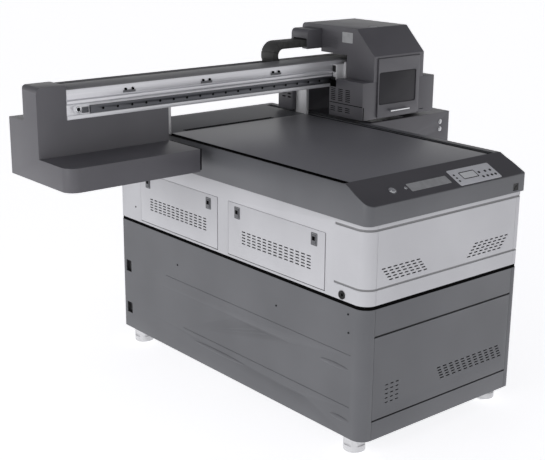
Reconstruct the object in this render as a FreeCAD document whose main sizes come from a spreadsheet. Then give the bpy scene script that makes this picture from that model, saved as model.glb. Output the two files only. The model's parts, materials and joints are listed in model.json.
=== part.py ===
import FreeCAD, Part
import math
import os
import re

import Sketcher

# Flatbed UV printer with a moving gantry, in millimetres, +Z up.
# The frame's origin lies on the floor, under the middle of the whole machine.
# Every place below is measured from the base's front left corner on the floor:
# x to the right, y to the back, z up. base_x and base_y carry that corner into the frame.

driving = {
    # whole machine
    "base_x": -328.5, "base_y": -707, "base_wide": 765, "base_deep": 1420,
    "foot_rise": 62, "sheet": 3, "corner_round": 47, "right_round": 14, "rear_round": 8,
    "gap": 0.5, "fit": 0.05,
    # cabinets
    "lower_top": 531, "upper_low": 537, "upper_top": 812,
    "panel_left": 47, "panel_right": 737,
    # deck cover with its sloping console
    "deck_over": 6, "deck_left": 24, "deck_right": 2, "lip_top": 875, "deck_top": 933,
    "slope_back": 111, "deck_back": 1377,
    "deck_tail": 890, "deck_edge": 905, "deck_side": 8,
    # bed
    "bed_left": 24, "bed_wide": 675, "bed_front": 112, "bed_deep": 979, "bed_thick": 36,
    "slot_left": 2, "slot_wide": 20, "slot_front": 111, "slot_back": 1339, "mirror_x": 724,
    # welded frame
    "tube": 40, "post_x": 24, "post_y": 30, "rail_tube": 30, "rail_tube_top": 782,
    "mid_rail_low": 520, "jack_front": 250, "jack_back": 950, "jack_left": 150,
    "jack_right": 573,
    # bed lift
    "jack_r": 22, "jack_top": 790, "rod_r": 10, "rod_low": 700,
    "blower_x": 361.5, "blower_y": 600, "blower_r": 90, "blower_low": 737,
    # drive along the bed
    "guide_x": 7, "guide_wide": 10, "guide_high": 12, "guide_front": 80, "guide_long": 1260,
    "screw_x": 62, "screw_z": 772, "screw_r": 8, "bearing_wide": 24, "bearing_deep": 18,
    "upright_x": 5, "upright_thick": 14, "upright_y": 1086, "upright_deep": 65,
    "upright_top": 1088, "block_low": 786, "block_high": 20, "nut_y": 1098, "nut_deep": 40,
    # electronics
    "box_x": 400, "box_y": 300, "box_wide": 300, "box_deep": 600, "box_high": 335,
    # service doors on the left side
    "door_low": 552, "door_high": 198, "door_out": 1, "door_thick": 10, "door_skin": 2,
    "front_door_y": 195, "front_door_long": 514, "rear_door_y": 776, "rear_door_long": 500,
    "door_gap": 3, "pin_x": 5, "pin_z": 556, "pin_r": 2, "pin_in": 10, "tab": 12,
    "paddle_wide": 20, "paddle_high": 34, "paddle_thick": 3.5, "paddle_top": 733,
    "paddle_in": 42,
    # levelling castors
    "castor_x": 45, "castor_y": 75, "drum_r": 38, "drum_low": 8, "plate_r": 41,
    "plate_high": 5, "wheel_r": 19, "wheel_wide": 10, "wheel_gap": 18, "wheel_z": 23,
    "axle_r": 3, "pad_r": 13, "pad_high": 8, "stem_r": 6, "stem_top": 44,
    # beam
    "beam_left": -490, "beam_right": 1190, "beam_y": 978, "beam_deep": 108,
    "beam_low": 1059, "beam_top": 1163, "beam_wall": 8,
    "strip_low": 1075, "strip_top": 1102, "strip_out": 9, "strip_left": -400,
    "strip_right": 1150, "hole_pitch": 60, "hole_r": 3.5, "hole_left": -350,
    "belt_z": 1092, "belt_y": 990, "belt_wide": 15, "pulley_r": 14, "belt_thick": 1.7,
    "idler_x": -446, "drive_x": 1150, "belt_slot_low": 1105.5, "belt_slot_high": 3,
    "tray_top": 1166, "tray_right": 1112, "tray_back": 1184, "tray_floor": 1123, "tray_lip": 1157,
    "motor_wide": 60, "motor_deep": 64, "motor_high": 56, "motor_drop": 24,
    # left end housing
    "shelf_left": -604, "shelf_right": -68, "shelf_y": 785, "shelf_back": 1180,
    "shelf_low": 853, "shelf_top": 936, "step_top": 1056, "cap_right": -490, "cap_top": 1179,
    "shelf_round": 45,
    # right end housing
    "wing_left": 787, "wing_right": 1261, "wing_y": 785, "wing_back": 1247,
    "wing_low": 789, "wing_top": 928, "tower_x": 1155, "hump_left": 690, "hump_right": 1100,
    "hump_y": 1156, "hump_low": 942, "hump_top": 1082,
    "bay_left": 815, "bay_right": 1006, "bay_front": 805, "bay_back": 955, "bay_gap": 5,
    "station_high": 40, "cap_rim": 4, "cap_deep": 10,
    "knob_x": 1205, "knob_z": 888, "knob_drop": 32, "knob_r": 7, "knob_out": 5,
    # carriage
    "box_low": 944, "hood_low": 1095, "hood_left": 790, "hood_right": 1078, "hood_y": 780,
    "hood_back": 1213, "hood_knee": 1196, "hood_top": 1297, "hood_knee_y": 884,
    "lamp_left": 731, "lamp_right": 1148, "lamp_back": 936, "lamp_split": 1055,
    "lamp_high": 90, "skirt_back": 974, "skirt_top": 1062,
    "carry_y": 940, "carry_thick": 10, "carry_left": 788, "carry_right": 1135,
    "carry_low": 958, "carry_top": 1158, "truck_left": 745, "truck_long": 80,
    "truck_step": 270, "truck_low": 1079, "truck_top": 1150,
    "notch_front": 937, "notch_top": 1186, "tunnel_front": 1093, "tunnel_back": 1175,
    "tunnel_top": 1243,
    "head_x": 826, "head_step": 46, "head_wide": 30, "head_deep": 70, "head_y": 836,
    "head_low": 940, "head_high": 112, "head_plate_low": 952, "head_plate_high": 5,
    # carriage front door
    "hatch_left": 812, "hatch_right": 1051, "hatch_y": 774, "hatch_thick": 9,
    "hatch_low": 950, "hatch_top": 1186, "window_left": 817, "window_right": 1031,
    "window_low": 1000, "window_top": 1131, "window_round": 9, "glass_thick": 3,
    "grip_left": 869, "grip_right": 979, "grip_z": 975, "grip_r": 4, "grip_out": 16,
    # cable chain
    "chain_y": 1096, "chain_wide": 77, "chain_low": 1129, "link_high": 28,
    "bend_r": 54.5, "bend_x": 584.5, "chain_end": 1070, "run_long": 520,
    "arm_left": 707, "arm_y": 1089, "arm_back": 1188, "arm_low": 1201, "arm_top": 1280,
    "arm_round": 20,
    # keypad button on the console
    "start_x": 146, "start_y": 42, "start_r": 11, "start_high": 5,
}

doc = FreeCAD.newDocument("flatbed_uv_printer")
sheet = doc.addObject("Spreadsheet::Sheet", "Dims")
for row, (alias, number) in enumerate(driving.items(), start=1):
    sheet.set("A%d" % row, alias)
    sheet.set("B%d" % row, str(number))
    sheet.setAlias("B%d" % row, alias)
doc.recompute()

subparts = []


def formula(text):
    """An expression in which every driving dimension points to the sheet."""
    def point(word):
        return "Dims." + word.group(0) if word.group(0) in driving else word.group(0)
    return re.sub(r"[a-z][a-z_]*", point, str(text))


def size(text):
    """The value of a formula, for loops and for the first guess of a sketch."""
    words = re.sub(r"[a-z][a-z_]*", lambda word: repr(float(driving[word.group(0)])), str(text))
    return float(FreeCAD.Units.Quantity(words).Value)


def place(solid, corner):
    lead = {"x": "base_x + ", "y": "base_y + ", "z": ""}
    for axis, text in zip("xyz", corner):
        solid.setExpression("Placement.Base." + axis, formula("%s(%s)" % (lead[axis], text)))
    return solid


def keep(solid, node):
    """Take a finished object as the sub-part of this name."""
    solid.Label = node
    subparts.append(solid)
    return solid


def box(extent, corner):
    solid = doc.addObject("Part::Box", "Block")
    for side, text in zip(("Length", "Width", "Height"), extent):
        solid.setExpression(side, formula(text))
    return place(solid, corner)


def rod(radius, length, start, axis="z"):
    """A cylinder from its start point along one axis."""
    solid = doc.addObject("Part::Cylinder", "Rod")
    solid.setExpression("Radius", formula(radius))
    solid.setExpression("Height", formula(length))
    turn = {"x": ((0, 1, 0), 90), "y": ((1, 0, 0), -90), "z": ((0, 0, 1), 0)}[axis]
    solid.Placement.Rotation = FreeCAD.Rotation(FreeCAD.Vector(*turn[0]), turn[1])
    return place(solid, start)


def join(*solids):
    """One fused solid."""
    result = doc.addObject("Part::MultiFuse", "Joined")
    result.Shapes = list(solids)
    return result


def group(*solids):
    """Several separate solids that share a node."""
    result = doc.addObject("Part::Compound", "Group")
    result.Links = list(solids)
    return result


def cut(base, *tools):
    result = doc.addObject("Part::Cut", "Trimmed")
    result.Base = base
    result.Tool = tools[0] if len(tools) == 1 else join(*tools)
    return result


def common(first, second):
    result = doc.addObject("Part::Common", "Shared")
    result.Base = first
    result.Tool = second
    return result


def profile(plane, outline, length, corner, rounded=()):
    """A closed outline on one origin plane, padded away from it.
    rounded lists (outline corner, radius) for the edges that are filleted."""
    body = doc.addObject("PartDesign::Body", "Profile")
    sketch = body.newObject("Sketcher::SketchObject", "Outline")
    flat = [f for f in body.Origin.OriginFeatures if f.Role == plane + "_Plane"][0]
    sketch.AttachmentSupport = [(flat, "")]
    sketch.MapMode = "FlatFace"
    points = [FreeCAD.Vector(size(across), size(up), 0) for across, up in outline]
    count = len(points)
    for i in range(count):
        sketch.addGeometry(Part.LineSegment(points[i], points[(i + 1) % count]), False)
    for i, (across, up) in enumerate(outline):
        following = (i + 1) % count
        sketch.addConstraint(Sketcher.Constraint("Coincident", i, 2, following, 1))
        for kind, text, start in (("DistanceX", across, points[i].x),
                                  ("DistanceY", up, points[i].y)):
            number = sketch.addConstraint(Sketcher.Constraint(kind, -1, 1, i, 1, start))
            sketch.setExpression("Constraints[%d]" % number, formula(text))
    pad = body.newObject("PartDesign::Pad", "Pad")
    pad.Profile = sketch
    pad.Reversed = plane == "XZ"
    pad.setExpression("Length", formula(length))
    for index, radius in rounded:
        round_edge(body, plane, points[index], radius)
    return place(body, corner)


def round_edge(body, plane, point, radius):
    """Fillet the padded edge that stands on one corner of the outline."""
    doc.recompute()
    spot = {"XY": (point.x, point.y, None), "XZ": (point.x, None, point.y),
            "YZ": (None, point.x, point.y)}[plane]
    last = body.Tip
    for number, edge in enumerate(last.Shape.Edges, start=1):
        ends = [vertex.Point for vertex in edge.Vertexes]
        if len(ends) == 2 and all(abs(end[k] - spot[k]) < 0.01 for end in ends
                                  for k in range(3) if spot[k] is not None):
            fillet = body.newObject("PartDesign::Fillet", "Round")
            fillet.Base = (last, ["Edge%d" % number])
            fillet.setExpression("Radius", formula(radius))
            return
    raise ValueError("no edge stands on the corner %s" % point)


def slab(inset, high, low, left, right):
    """An upright slab of the base's plan, with a radius at its front left and front right."""
    wide, deep = "base_wide - 2 * (%s)" % inset, "base_deep - 2 * (%s)" % inset
    rear = "rear_round - (%s)" % inset
    outline = [(0, 0), (wide, 0), (wide, deep), (0, deep)]
    return profile("XY", outline, high, (inset, inset, low),
                   [(0, "%s - (%s)" % (left, inset)), (1, "%s - (%s)" % (right, inset)),
                    (2, rear), (3, rear)])


def four_corners():
    """The centres of the four castors, front left first."""
    for side, across in (("left", "castor_x"), ("right", "base_wide - castor_x")):
        for end, along in (("front", "castor_y"), ("rear", "base_deep - castor_y")):
            yield end + "_" + side, across, along


def make_frame():
    post_right = "base_wide - post_x - tube"
    post_back = "base_deep - post_y - tube"
    foot = "foot_rise + sheet"
    top = "rail_tube_top - rail_tube"
    tubes = []
    for across in ("post_x", post_right):
        for along in ("post_y", post_back):
            tubes.append(box(("tube", "tube", "rail_tube_top - rail_tube - %s" % foot),
                             (across, along, foot)))
        for low in (foot, "mid_rail_low"):
            tubes.append(box(("tube", "base_deep - 2 * post_y - 2 * tube", "tube"),
                             (across, "post_y + tube", low)))
    for along in ("post_y", post_back):
        tubes.append(box(("base_wide - 2 * post_x - 2 * tube", "tube", "tube"),
                         ("post_x + tube", along, foot)))
        tubes.append(box(("base_wide - 2 * post_x", "tube", "rail_tube"),
                         ("post_x", along, top)))
    for along in ("jack_front - tube / 2", "jack_back - tube / 2"):
        tubes.append(box(("base_wide - 2 * post_x - 2 * tube", "tube", "tube"),
                         ("post_x + tube", along, "mid_rail_low")))
    for across in ("sheet + 1", "mirror_x - sheet - 1 - tube"):
        tubes.append(box(("tube", "base_deep - 2 * post_y - 2 * tube", "rail_tube"),
                         (across, "post_y + tube", top)))
    return keep(group(*tubes), "base_frame")


def shell(low, top, node_cuts):
    """A tall sheet-metal ring with rounded corners, less what is cut from it."""
    high = "%s - (%s)" % (top, low)
    outside = slab("0", high, low, "corner_round", "right_round")
    inside = slab("sheet", high + " + 2", low + " - 1", "corner_round", "right_round")
    front = box(("panel_right - panel_left", "2 * sheet", high + " + 2"),
                ("panel_left", "-sheet / 2", low + " - 1"))
    return cut(outside, inside, front, *node_cuts)


def make_cabinets():
    lower = shell("foot_rise", "lower_top", [])
    floor = slab("sheet", "sheet", "foot_rise", "corner_round", "right_round")
    keep(join(lower, floor), "lower_cabinet_shell")
    openings = []
    for along, length in (("front_door_y", "front_door_long"), ("rear_door_y", "rear_door_long")):
        openings.append(box(("3 * sheet", length + " + 2 * door_gap", "door_high + door_gap"),
                            ("-sheet", along + " - door_gap", "door_low - door_gap")))
    keep(shell("upper_low", "upper_top", openings), "upper_body_shell")
    for node, low, top in (("lower_front_panel", "foot_rise", "lower_top"),
                           ("upper_front_panel", "upper_low", "upper_top")):
        keep(box(("panel_right - panel_left - 2 * gap", "sheet - gap", "%s - %s" % (top, low)),
                 ("panel_left + gap", 0, low)), node)


def deck_solid(inset):
    """The cover's form: its section along the bed, its end section and its plan in common."""
    front = "-deck_over + %s" % inset
    side_section = [(front, "upper_top"), (front, "lip_top - %s / 2" % inset),
                    ("slope_back", "deck_top - %s" % inset),
                    ("deck_back", "deck_top - %s" % inset),
                    ("base_deep - %s" % inset, "deck_tail - %s / 2" % inset),
                    ("base_deep - %s" % inset, "upper_top")]
    left, right = "-deck_over + %s" % inset, "base_wide + deck_over - %s" % inset
    end_section = [(left, "upper_top"), (left, "deck_edge - %s / 2" % inset),
                   ("deck_side - deck_over + %s" % inset, "deck_top"),
                   ("base_wide + deck_over - deck_side - %s" % inset, "deck_top"),
                   (right, "deck_edge - %s / 2" % inset), (right, "upper_top")]
    along = profile("YZ", side_section, "base_wide + 2 * deck_over",
                    ("-deck_over", 0, 0))
    across = profile("XZ", end_section, "base_deep + 2 * deck_over", (0, "-deck_over", 0))
    plan = slab("%s - deck_over" % inset, "deck_top - upper_top + 2", "upper_top - 1",
                "deck_left", "deck_right")
    return common(common(along, across), plan)


def make_deck():
    slots = []
    for across in ("slot_left", "mirror_x - slot_left - slot_wide - 1"):
        slots.append(box(("slot_wide + 1", "slot_back - slot_front", "4 * sheet"),
                         (across, "slot_front", "deck_top - 3 * sheet")))
    bed_hole = box(("mirror_x - 2 * slot_left - 2 * slot_wide", "bed_deep + 3", "4 * sheet"),
                   ("slot_left + slot_wide", "slot_front", "deck_top - 3 * sheet"))
    hollow = deck_solid("sheet")
    key_hole = key_on_slope("start_r + gap", "6 * sheet", "3 * sheet")
    return keep(cut(deck_solid("0"), hollow, bed_hole, key_hole, *slots), "deck_cover")


def make_bed():
    under = "deck_top - bed_thick"
    keep(box(("bed_wide", "bed_deep", "bed_thick"), ("bed_left", "bed_front", under)),
         "bed_table")
    rods, jacks = [], []
    for across in ("jack_left", "jack_right"):
        for along in ("jack_front", "jack_back"):
            rods.append(rod("rod_r", "deck_top - bed_thick - rod_low",
                            (across, along, "rod_low")))
            foot = "mid_rail_low + tube"
            jacks.append(cut(rod("jack_r", "jack_top - (%s)" % foot, (across, along, foot)),
                             rod("rod_r + fit", "jack_top - mid_rail_low",
                                 (across, along, foot + " + sheet"))))
    keep(group(*rods), "bed_lift_rods")
    keep(group(*jacks), "bed_lift_jacks")
    keep(rod("blower_r", "%s - blower_low" % under, ("blower_x", "blower_y", "blower_low")),
         "vacuum_blower")


def make_bed_drive():
    """A rail and a screw on each side carry the two uprights of the gantry."""
    screw_y, top = "post_y + tube", "rail_tube_top"
    guides, uprights, blocks = [], [], []
    for side in ("left", "right"):
        guide = box(("guide_wide", "guide_long", "guide_high"),
                    (mirrored(side, "guide_x", "guide_wide"), "guide_front", top))
        guides.append(guide)
        for along in (screw_y, "base_deep - (%s) - bearing_deep" % screw_y):
            bearing = box(("bearing_wide", "bearing_deep", "bearing_wide"),
                          (mirrored(side, "screw_x - bearing_wide / 2", "bearing_wide"), along,
                           "screw_z - bearing_wide / 2"))
            bore = rod("screw_r + fit", "2 * bearing_deep",
                       (mirrored(side, "screw_x", "0"), along + " - bearing_deep / 2",
                        "screw_z"), "y")
            guides.append(cut(bearing, bore))
        keep(rod("screw_r", "base_deep - 2 * (%s) - 2" % screw_y,
                 (mirrored(side, "screw_x", "0"), screw_y + " + 1", "screw_z"), "y"),
             side + "_drive_screw")
        uprights.append(box(("upright_thick", "upright_deep",
                             "upright_top - block_low - block_high"),
                            (mirrored(side, "upright_x", "upright_thick"), "upright_y",
                             "block_low + block_high")))
        wide = "guide_wide + 7"
        carriage = box((wide, "upright_deep", "block_high"),
                       (mirrored(side, "guide_x - 3.5", wide), "upright_y", "block_low"))
        channel = box(("guide_wide + 2 * gap", "2 * upright_deep", "block_high"),
                      (mirrored(side, "guide_x - gap", "guide_wide + 2 * gap"),
                       "upright_y - upright_deep / 2",
                       "rail_tube_top + guide_high + gap - block_high"))
        arm_from = "guide_x + 2"
        arm_long = "screw_x + bearing_wide / 2 - guide_x - 2"
        arm = box((arm_long, "nut_deep", "block_low + block_high - rail_tube_top - guide_high - 2"),
                  (mirrored(side, arm_from, arm_long), "nut_y",
                   "rail_tube_top + guide_high + 2"))
        nut = box(("bearing_wide", "nut_deep",
                   "block_low + block_high - screw_z + bearing_wide / 2"),
                  (mirrored(side, "screw_x - bearing_wide / 2", "bearing_wide"), "nut_y",
                   "screw_z - bearing_wide / 2"))
        nut_bore = rod("screw_r + fit", "2 * nut_deep",
                       (mirrored(side, "screw_x", "0"), "nut_y - nut_deep / 2", "screw_z"), "y")
        blocks.append(cut(join(carriage, arm, nut), channel, nut_bore))
    keep(group(*guides), "bed_side_guides")
    keep(group(*uprights), "gantry_uprights")
    keep(group(*blocks), "gantry_blocks")


def mirrored(side, left_edge, wide):
    """The left edge of a piece on one side of the bed."""
    return left_edge if side == "left" else "mirror_x - (%s) - (%s)" % (left_edge, wide)


def make_electronics():
    inner = ("box_wide - 2 * sheet", "box_deep - 2 * sheet", "box_high - 2 * sheet")
    keep(cut(box(("box_wide", "box_deep", "box_high"), ("box_x", "box_y", "foot_rise + sheet")),
             box(inner, ("box_x + sheet", "box_y + sheet", "foot_rise + 2 * sheet"))),
         "electronics_box")


def make_doors():
    pins = []
    for name, along, length in (("front", "front_door_y", "front_door_long"),
                                ("rear", "rear_door_y", "rear_door_long")):
        pan = box(("door_thick", length, "door_high - gap"), ("-door_out", along, "door_low"))
        hollow = box(("door_thick", "%s - 2 * door_skin" % length,
                      "door_high - gap - 2 * door_skin"),
                     ("-door_out + door_skin", along + " + door_skin", "door_low + door_skin"))
        hubs, bores = [], []
        for inner, outer in ((along + " + door_skin", along),
                             ("%s + %s - door_skin - pin_in" % (along, length),
                              "%s + %s" % (along, length))):
            hubs.append(box(("door_thick - door_skin - 1", "pin_in", "2 * pin_r + 4"),
                            ("door_skin - door_out", inner, "pin_z - pin_r - 2")))
            bores.append(rod("pin_r + fit", "4 * pin_in",
                             ("pin_x", outer + " - 2 * pin_in", "pin_z"), "y"))
        leaf = cut(join(cut(pan, hollow), *hubs), *bores)
        keep(leaf, name + "_service_door")
        near = along + " - door_gap"
        far = "%s + %s + door_gap" % (along, length)
        for tab_y, pin_y in ((near + " - tab + gap", near + " + gap"),
                             (far + " - gap",
                              "%s + %s - pin_in - door_skin" % (along, length))):
            tab = box(("door_thick", "tab", "tab"), ("sheet", tab_y, "pin_z - tab / 2"))
            pin = rod("pin_r", "pin_in + door_skin + door_gap - gap",
                      ("pin_x", pin_y, "pin_z"), "y")
            pins.append(join(tab, pin))
        for latch, offset in (("front", "paddle_in"),
                              ("rear", "%s - paddle_in - paddle_wide" % length)):
            paddle = box(("paddle_thick - gap", "paddle_wide", "paddle_high"),
                         ("-door_out - paddle_thick", "%s + %s" % (along, offset),
                          "paddle_top - paddle_high"))
            keep(paddle, "%s_door_%s_latch" % (name, latch))
    keep(group(*pins), "door_hinge_pins")


def make_castors():
    for corner, across, along in four_corners():
        plate = rod("plate_r", "plate_high", (across, along, "foot_rise - plate_high"))
        drum = rod("drum_r", "foot_rise - drum_low", (across, along, "drum_low"))
        pockets, wheels = [], []
        for edge in ("wheel_gap", "-wheel_gap - wheel_wide"):
            wheel_x = "%s + %s" % (across, edge)
            pockets.append(box(("wheel_wide + 2", "2 * wheel_r + 6", "wheel_z + wheel_r + 3"),
                               (wheel_x + " - 1", along + " - wheel_r - 3", 0)))
            wheels.append(cut(rod("wheel_r", "wheel_wide", (wheel_x, along, "wheel_z"), "x"),
                              rod("axle_r + fit", "3 * wheel_wide",
                                  (wheel_x + " - wheel_wide", along, "wheel_z"), "x")))
        axle = rod("axle_r", "2 * drum_r - 8", (across + " - drum_r + 4", along, "wheel_z"), "x")
        stem_bore = rod("stem_r + fit", "stem_top - drum_low + 8",
                        (across, along, "drum_low - 6"))
        housing = cut(join(cut(join(plate, drum), *pockets), axle), stem_bore)
        keep(housing, "castor_" + corner)
        keep(group(*wheels), "castor_wheels_" + corner)
        pad = join(rod("pad_r", "pad_high - 1", (across, along, 0)),
                   rod("stem_r", "stem_top - 1", (across, along, 0)))
        keep(pad, "levelling_pad_" + corner)


def make_beam():
    nose, top_nose = "beam_y - 6", "beam_y - 4"
    outline = [("beam_y", "beam_low"), (top_nose, "beam_low"), (top_nose, "strip_low - 2"),
               ("beam_y", "strip_low - 2"), ("beam_y", "strip_top + 8"),
               (nose, "strip_top + 12"), (nose, "strip_top + 22"),
               ("beam_y", "strip_top + 26"), ("beam_y", "strip_top + 28"),
               (top_nose, "strip_top + 28"), (top_nose, "beam_top"),
               ("beam_y + beam_deep", "beam_top"), ("beam_y + beam_deep", "beam_low")]
    solid = profile("YZ", outline, "beam_right - beam_left", ("beam_left", 0, 0))
    hollow = box(("beam_right - beam_left + 2", "beam_deep - 2 * beam_wall",
                  "beam_top - beam_low - 2 * beam_wall"),
                 ("beam_left - 1", "beam_y + beam_wall", "beam_low + beam_wall"))
    belt_slot = box(("strip_right - strip_left", "3 * beam_wall", "belt_slot_high"),
                    ("strip_left", "beam_y - beam_wall", "belt_slot_low"))
    eye = rod("pulley_r + 2", "3 * beam_wall", ("idler_x", "beam_y - beam_wall", "belt_z"), "y")
    keep(cut(solid, hollow, belt_slot, eye), "gantry_beam")

    strip = box(("strip_right - strip_left", "strip_out", "strip_top - strip_low"),
                ("strip_left", "beam_y - strip_out", "strip_low"))
    holes = []
    count = int((size("strip_right") - size("hole_left")) // size("hole_pitch")) + 1
    for i in range(count):
        holes.append(rod("hole_r", "2 * strip_out",
                         ("hole_left + %d * hole_pitch" % i, "beam_y - 1.5 * strip_out",
                          "(strip_low + strip_top) / 2"), "y"))
    keep(cut(strip, *holes), "beam_rail")

    back = "beam_y + beam_deep"
    channel = [("beam_y", "beam_top"), ("beam_y", "tray_top"), (back + " + sheet", "tray_top"),
               (back + " + sheet", "tray_floor + sheet"),
               ("tray_back - sheet", "tray_floor + sheet"), ("tray_back - sheet", "tray_lip"),
               ("tray_back", "tray_lip"), ("tray_back", "tray_floor"), (back, "tray_floor"),
               (back, "beam_top")]
    keep(profile("YZ", channel, "tray_right - beam_left", ("beam_left", 0, 0)), "chain_tray")


def make_belt():
    reach = "drive_x - idler_x"
    rim, core = "pulley_r + 0.3 + belt_thick", "pulley_r + 0.3"

    def loop(radius, deep, start_y):
        ends = [rod(radius, deep, (across, start_y, "belt_z"), "y")
                for across in ("idler_x", "drive_x")]
        middle = box((reach, deep, "2 * (%s)" % radius),
                     ("idler_x", start_y, "belt_z - (%s)" % radius))
        return join(middle, *ends)

    keep(cut(loop(rim, "belt_wide", "belt_y"), loop(core, "belt_wide + 2", "belt_y - 1")),
         "carriage_belt")
    for node, across in (("belt_idler_pulley", "idler_x"), ("belt_drive_pulley", "drive_x")):
        keep(cut(rod("pulley_r", "belt_wide", (across, "belt_y", "belt_z"), "y"),
                 rod("axle_r", "3 * belt_wide", (across, "belt_y - belt_wide", "belt_z"), "y")),
             node)
    motor = box(("motor_wide", "motor_deep", "motor_high"),
                ("drive_x - motor_wide / 2", "beam_y + beam_deep", "belt_z - motor_drop"))
    keep(motor, "carriage_motor")


def make_left_end():
    def section(inset, low):
        return [("shelf_y + %s" % inset, low),
                ("shelf_y + %s" % inset, "shelf_top - %s" % inset),
                ("beam_y + %s" % inset, "shelf_top - %s" % inset),
                ("beam_y + %s" % inset, "beam_low - %s" % inset),
                ("beam_y + beam_deep - %s" % inset, "beam_low - %s" % inset),
                ("beam_y + beam_deep - %s" % inset, "step_top - %s" % inset),
                ("shelf_back - %s" % inset, "step_top - %s" % inset),
                ("shelf_back - %s" % inset, low)]

    outer_outline = section("0", "shelf_low")
    inner_outline = section("sheet", "shelf_low - 5")
    outer = profile("YZ", outer_outline, "shelf_right - shelf_left", ("shelf_left", 0, 0))
    inner = profile("YZ", inner_outline, "shelf_right - shelf_left - 2 * sheet",
                    ("shelf_left + sheet", 0, 0))

    def corner(inset):
        block = box(("shelf_round + 1", "shelf_round + 1", "beam_top"),
                    ("shelf_left - 1", "shelf_y - 1", "shelf_low - 10"))
        return cut(block, rod("shelf_round - %s" % inset, "2 * beam_top",
                              ("shelf_left + shelf_round", "shelf_y + shelf_round", 0)))

    cap_high = "cap_top - beam_low"
    cap = profile("XY", [(0, 0), ("cap_right - shelf_left", 0),
                         ("cap_right - shelf_left", "beam_deep"), (0, "beam_deep")],
                  cap_high, ("shelf_left", "beam_y", "beam_low"), [(3, "15")])
    cover = cut(cut(outer, corner("0")), cut(inner, corner("sheet")))
    return keep(join(cover, cap), "left_end_housing")


def make_right_end():
    wing = box(("wing_right - wing_left", "wing_back - wing_y", "wing_top - wing_low"),
               ("wing_left", "wing_y", "wing_low"))
    inside = box(("wing_right - wing_left - 2 * sheet", "wing_back - wing_y - 2 * sheet",
                  "wing_top - wing_low"),
                 ("wing_left + sheet", "wing_y + sheet", "wing_low - sheet"))
    bay = box(("bay_right - bay_left", "bay_back - bay_front", "10 * sheet"),
              ("bay_left", "bay_front", "wing_top - 5 * sheet"))
    knobs = []
    for drop in ("0", "knob_drop"):
        knobs.append(rod("knob_r + gap", "6 * sheet",
                         ("knob_x", "wing_y - sheet", "knob_z - %s" % drop), "y"))
    rear = box(("hump_right - hump_left", "wing_back - hump_y", "hump_top - hump_low"),
               ("hump_left", "hump_y", "hump_low"))
    rear_inside = box(("hump_right - hump_left - 2 * sheet", "wing_back - hump_y - 2 * sheet",
                       "hump_top - hump_low - 2 * sheet"),
                      ("hump_left + sheet", "hump_y + sheet", "hump_low + sheet"))
    neck = box(("hump_right - wing_left", "wing_back - hump_y", "hump_low - wing_top"),
               ("wing_left", "hump_y", "wing_top"))
    tower = box(("wing_right - tower_x", "beam_deep", "beam_low - wing_top"),
                ("tower_x", "beam_y", "wing_top"))
    tower_top = box(("wing_right - beam_right", "beam_deep", "cap_top - beam_low"),
                    ("beam_right", "beam_y", "beam_low"))
    cover = join(cut(wing, inside, bay, *knobs), cut(rear, rear_inside), neck, tower, tower_top)
    keep(cover, "right_end_housing")
    for node, drop in (("upper_push_button", "0"), ("lower_push_button", "knob_drop")):
        keep(rod("knob_r", "knob_out + 3 * sheet",
                 ("knob_x", "wing_y - knob_out", "knob_z - %s" % drop), "y"), node)
    station = cut(box(("bay_right - bay_left - 2 * bay_gap", "bay_back - bay_front - 2 * bay_gap",
                       "station_high"),
                      ("bay_left + bay_gap", "bay_front + bay_gap", "wing_top - station_high - 2")),
                  *[box(("head_wide - 2 * cap_rim", "head_deep - 2 * cap_rim", "station_high"),
                        ("head_x + %d * head_step + cap_rim" % i, "head_y + cap_rim",
                         "wing_top - cap_deep"))
                    for i in range(4)])
    keep(station, "capping_station")


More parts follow.
